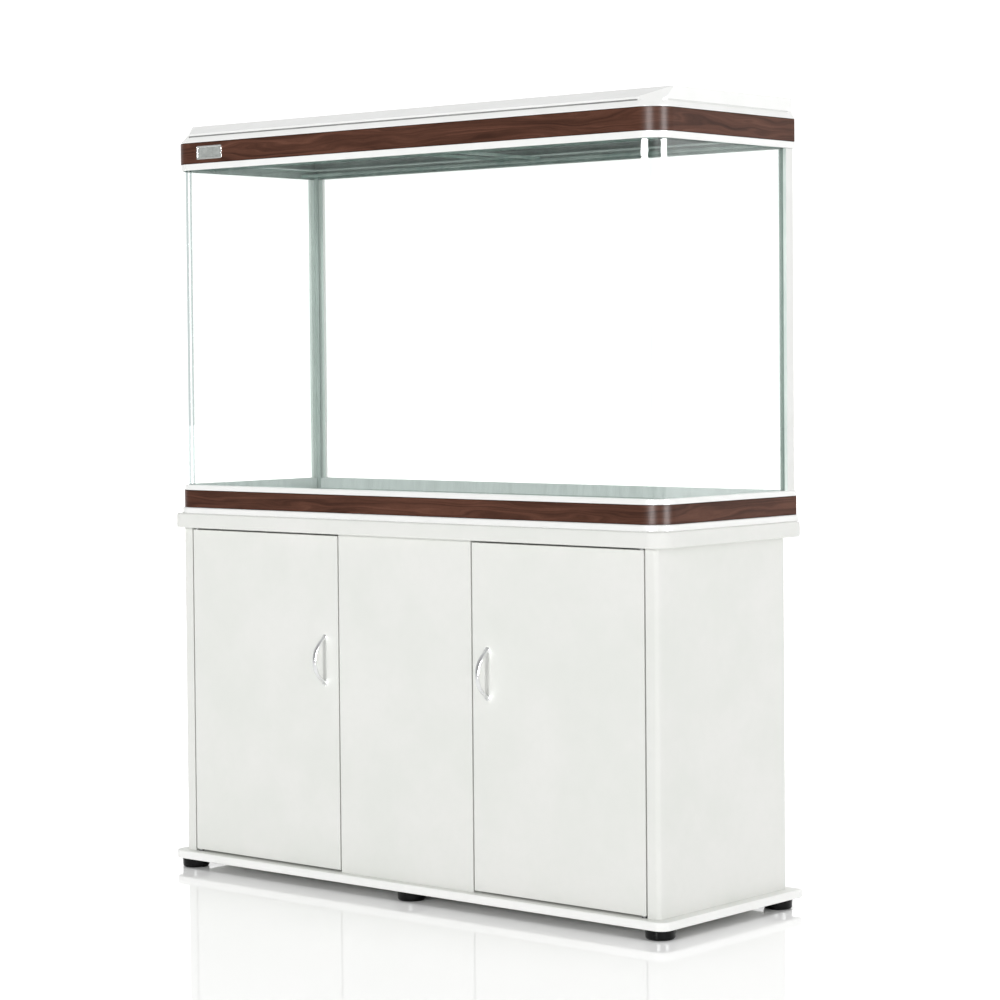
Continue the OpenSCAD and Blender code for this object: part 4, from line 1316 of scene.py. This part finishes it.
def make_nameplate():
    """A blank plate: a bright raised rim round a satin field."""
    lo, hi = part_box("hood_nameplate")
    r, rim, sunk = 3 * MM, 3 * MM, 0.6 * MM

    def outline(inset, y):
        rr = max(r - inset * 0.7, 0.8 * MM)
        x0, z0, x1, z1 = lo.x + inset, lo.z + inset, hi.x - inset, hi.z - inset
        loop = arc((x0 + rr, z0 + rr), rr, 180, 90, 6) + arc((x1 - rr, z0 + rr), rr, 270, 90, 6)
        loop += arc((x1 - rr, z1 - rr), rr, 0, 90, 6) + arc((x0 + rr, z1 - rr), rr, 90, 90, 6)
        return [(x, y, z) for x, z in loop]

    steps = [(0, hi.y), (0, lo.y + 0.5 * MM), (0.15 * MM, lo.y + 0.15 * MM), (0.5 * MM, lo.y)]
    steps += [(rim - 0.7 * MM, lo.y), (rim - 0.3 * MM, lo.y + 0.2 * MM), (rim, lo.y + sunk)]
    bm = bmesh.new()
    loft(bm, [outline(inset, y) for inset, y in steps])

    def choice(face):
        return int(len(face.verts) > 6 and face.calc_center_median().y < hi.y - 0.2 * MM)

    make("hood_nameplate_blank", bm, [PLATE_RIM, PLATE_FIELD], "hood_nameplate", choice)


# ---------- lamp ----------

def make_lamp():
    """The lamp under the cover: trough, tubes with metal caps, ballast, brackets and clear sheet."""
    lo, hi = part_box("lamp_housing")
    wall = 2 * MM
    bm = bmesh.new()
    rows = slab_rows(box_outline(lo, hi, (3 * MM,) * 4), lo.z, hi.z, 1.5 * MM)[EDGE_STEPS:]
    hollow_form = box_outline((lo.x + wall, lo.y + wall), (hi.x - wall, hi.y - wall), (1.5 * MM,) * 4)
    inside = slab_rows(hollow_form, lo.z, hi.z - wall, 1 * MM)[EDGE_STEPS:]
    made = loft(bm, rows, caps=False)
    bm.faces.new(made[-1])
    hollow = loft(bm, inside, caps=False)
    bm.faces.new(list(reversed(hollow[-1])))
    count = len(made[0])
    for j in range(count):
        k = (j + 1) % count
        bm.faces.new((made[0][j], made[0][k], hollow[0][k], hollow[0][j]))
    make("lamp_trough", bm, ENAMEL, "lamp_housing")

    bm = bmesh.new()
    for tube_lo, tube_hi in islands("lamp_tubes"):
        r = (tube_hi.z - tube_lo.z) / 2
        middle = (tube_lo + tube_hi) / 2
        tube = soft_cylinder(r * 0.985, tube_hi.x - tube_lo.x, 1.5 * MM)
        add_turned(bm, tube, (tube_lo.x, middle.y, middle.z), (1, 0, 0), 36)
    cap_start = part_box("lamp_tubes")[1].x - 9 * MM

    def tube_choice(face):
        return int(abs(face.calc_center_median().x) > cap_start)

    make("lamp_tubes_glass", bm, [TUBE, ZINC], "lamp_tubes", tube_choice)

    lo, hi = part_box("lamp_ballast")
    bm = bmesh.new()
    add_block(bm, lo, hi, 1.2 * MM)
    for x in (lo.x + 8 * MM, hi.x - 8 * MM):
        add_screw_head(bm, (x, (lo.y + hi.y) / 2, hi.z), (0, 0, 1), 3 * MM, 1.5 * MM)
    make("lamp_ballast_box", bm, ENAMEL, "lamp_ballast")

    bm = bmesh.new()
    sheet, foot, half = 1.5 * MM, 18 * MM, 12 * MM
    for bracket_lo, bracket_hi in islands("lamp_brackets"):
        x = (bracket_lo.x + bracket_hi.x) / 2
        y0, y1, z0, z1 = bracket_lo.y, bracket_hi.y, bracket_lo.z, bracket_hi.z
        outline = rounded([
            (y0, z0), (y0 + foot, z0), (y0 + foot, z1 - sheet, 2 * MM),
            (y1 - foot, z1 - sheet, 2 * MM), (y1 - foot, z0), (y1, z0), (y1, z0 + sheet),
            (y1 - foot + sheet, z0 + sheet, 2 * MM), (y1 - foot + sheet, z1, 3 * MM),
            (y0 + foot - sheet, z1, 3 * MM), (y0 + foot - sheet, z0 + sheet, 2 * MM), (y0, z0 + sheet),
        ], 0.3 * MM, 3)
        add_prism(bm, outline, "x", x - half, x + half, 0.2 * MM)
    make("lamp_brackets_bent", bm, ZINC, "lamp_brackets")

    lo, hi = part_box("lamp_cover")
    bm = bmesh.new()
    add_block(bm, lo, hi, 0.4 * MM)
    make("lamp_cover_sheet", bm, ACRYLIC, "lamp_cover")

    lo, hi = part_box("cable_gland")
    bm = bmesh.new()
    middle = (lo + hi) / 2
    profile = in_mm([
        (0, 0), (8.0, 0), (8.0, 5.5), (11.0, 6.0), (11.0, 8.6), (10.4, 9.2), (7.9, 9.4),
        (7.9, 15.2), (7.2, 16.0), (4.4, 16.0), (3.5, 15.0), (3.5, 2.0), (0, 2.0),
    ])
    add_turned(bm, profile, (middle.x, lo.y, middle.z), (0, 1, 0), 40)
    make("cable_gland_turned", bm, NYLON, "cable_gland")


make_boards()
make_plates()
make_partitions()
make_back_panel()
make_screws()
make_feet()
make_handles()
make_base_frame()
make_wood_bands()
make_glass()
make_seams()
make_corner_trims()
make_hood_frame()
make_hood_cover()
make_lid()
make_nameplate()
make_lamp()


# ---------- studio ----------

def add_sun(name, bearing, height, wide, strength, lights=None):
    """A soft sun at a bearing and a height, in degrees. It may light a few things only."""
    lamp = bpy.data.lights.new(name, "SUN")
    lamp.energy = strength
    lamp.angle = math.radians(wide)
    sun = bpy.data.objects.new(name, lamp)
    scene.collection.objects.link(sun)
    tilt = math.radians(90 - height)
    sun.rotation_euler = (tilt, 0.0, math.radians(bearing))
    if lights:
        light_only(sun, lights)


def light_only(light, things):
    group = bpy.data.collections.new("lit_by_" + light.name)
    for thing in things:
        group.objects.link(thing)
    light.light_linking.receiver_collection = group


def add_card(name, bearing, wide, low, radiance, lights):
    """A tall glowing card round the front corner, only for its mirror image in a few things."""
    distance, high = 3.4, 2.1
    centre = Vector((HALF_W - CORNER_R, FRONT + CORNER_R, 0.0))
    half = math.radians(wide) / 2
    bm = bmesh.new()
    steps = 6
    rows = []
    turns = [math.radians(bearing) - half + 2 * half * i / steps for i in range(steps + 1)]
    for z in (low, high):
        places = [Vector((distance * math.sin(a), -distance * math.cos(a), z)) for a in turns]
        rows.append([bm.verts.new(centre + place) for place in places])
    for i in range(steps):
        bm.faces.new((rows[0][i], rows[0][i + 1], rows[1][i + 1], rows[1][i]))
    mesh = bpy.data.meshes.new(name)
    bm.to_mesh(mesh)
    bm.free()
    glow = Finish(name, (0.0, 0.0, 0.0), 1.0, Emission_Strength=radiance)
    cloth = glow.noise(glow.place(), 3.0, 2.0, 0.5)
    glow.feed(**{"Emission Color": glow.blend(cloth, opaque((1.0, 1.0, 1.0)), opaque((0.97, 0.98, 1.0)))})
    mesh.materials.append(glow.material)
    card = bpy.data.objects.new(name, mesh)
    scene.collection.objects.link(card)
    card.visible_camera = False
    card.visible_diffuse = False
    card.visible_shadow = False
    light_only(card, lights)


def map_range(nodes, links, value, ends):
    """A value taken from one range to another in the light of the room."""
    node = nodes.new("ShaderNodeMapRange")
    links.new(value, node.inputs["Value"])
    for name, end in zip(("From Min", "From Max", "To Min", "To Max"), ends):
        node.inputs[name].default_value = end
    return node.outputs[0]


def coated_with(finishes):
    """The meshes whose main finish is one of these."""
    meshes = [o for o in scene.objects if o.type == "MESH" and o.data.materials]
    return [o for o in meshes if o.data.materials[0] in finishes]


def make_studio():
    """White surroundings, a glossy pale floor, a soft key light, and cards that show in the glossy parts."""
    bm = bmesh.new()
    half = 30.0
    bm.faces.new([bm.verts.new((x, y, 0.0)) for x, y in rectangle(-half, -half, half, half)])
    mesh = bpy.data.meshes.new("floor")
    bm.to_mesh(mesh)
    bm.free()
    mesh.materials.append(studio_floor())
    floor = bpy.data.objects.new("floor", mesh)
    scene.collection.objects.link(floor)

    world = bpy.data.worlds.new("white_room")
    scene.world = world
    world.use_nodes = True
    nodes, links = world.node_tree.nodes, world.node_tree.links
    shade = nodes["Background"]
    shade.inputs["Color"].default_value = (1.0, 1.0, 1.0, 1.0)
    path = nodes.new("ShaderNodeLightPath")
    place = nodes.new("ShaderNodeTexCoord")
    split = nodes.new("ShaderNodeSeparateXYZ")
    links.new(place.outputs["Generated"], split.inputs[0])
    front_to_back = map_range(nodes, links, split.outputs["Y"], (-0.5, 0.3, 0.42, 0.80))
    behind = map_range(nodes, links, split.outputs["Y"], (-0.1, 0.25, 0.0, 1.0))
    low = map_range(nodes, links, split.outputs["Z"], (0.2, 0.32, 1.0, 0.0))
    horizon = nodes.new("ShaderNodeMath")
    horizon.operation = "MULTIPLY_ADD"
    links.new(behind, horizon.inputs[0])
    links.new(low, horizon.inputs[1])
    links.new(front_to_back, horizon.inputs[2])
    strength = nodes.new("ShaderNodeMix")
    strength.data_type = "FLOAT"
    links.new(path.outputs["Is Camera Ray"], strength.inputs[0])
    links.new(horizon.outputs[0], strength.inputs[2])
    strength.inputs[3].default_value = 1.25
    links.new(strength.outputs[0], shade.inputs["Strength"])

    add_sun("key", 3, 17, 12, 1.14)
    add_sun("side_fill", 80, 12, 60, 0.7)
    add_sun("floor_light", 0, 90, 30, 1.0, [floor])
    glossy = (WALNUT, CHROME, BLACK, WHITE_PLASTIC, PLATE_RIM)
    shiny, glass = coated_with(glossy), coated_with((PANE,))
    add_card("front_card", 23.8, 21, 0.15, 60.0, shiny)
    add_card("side_card", 90, 21, 0.15, 60.0, shiny)
    add_card("front_glass_card", -12, 35, 0.63, 30.0, glass)
    add_card("side_glass_card", 108, 28, 0.63, 30.0, glass)


def make_camera():
    """A long lens at chest height, right of the front."""
    bearing, pitch, roll = math.radians(40.651), math.radians(-1.885), math.radians(-0.495)
    lens = bpy.data.cameras.new("camera")
    lens.sensor_width = 36.0
    lens.lens = 102.77
    lens.shift_y = -0.045
    camera = bpy.data.objects.new("camera", lens)
    scene.collection.objects.link(camera)
    camera.location = (3.5436, -4.0343, 0.9922)
    level = Matrix.Rotation(bearing, 3, "Z") @ Matrix.Rotation(math.pi / 2 + pitch, 3, "X")
    camera.rotation_euler = (level @ Matrix.Rotation(roll, 3, "Z")).to_euler()
    scene.camera = camera


make_studio()
make_camera()
scene.view_settings.view_transform = "Standard"
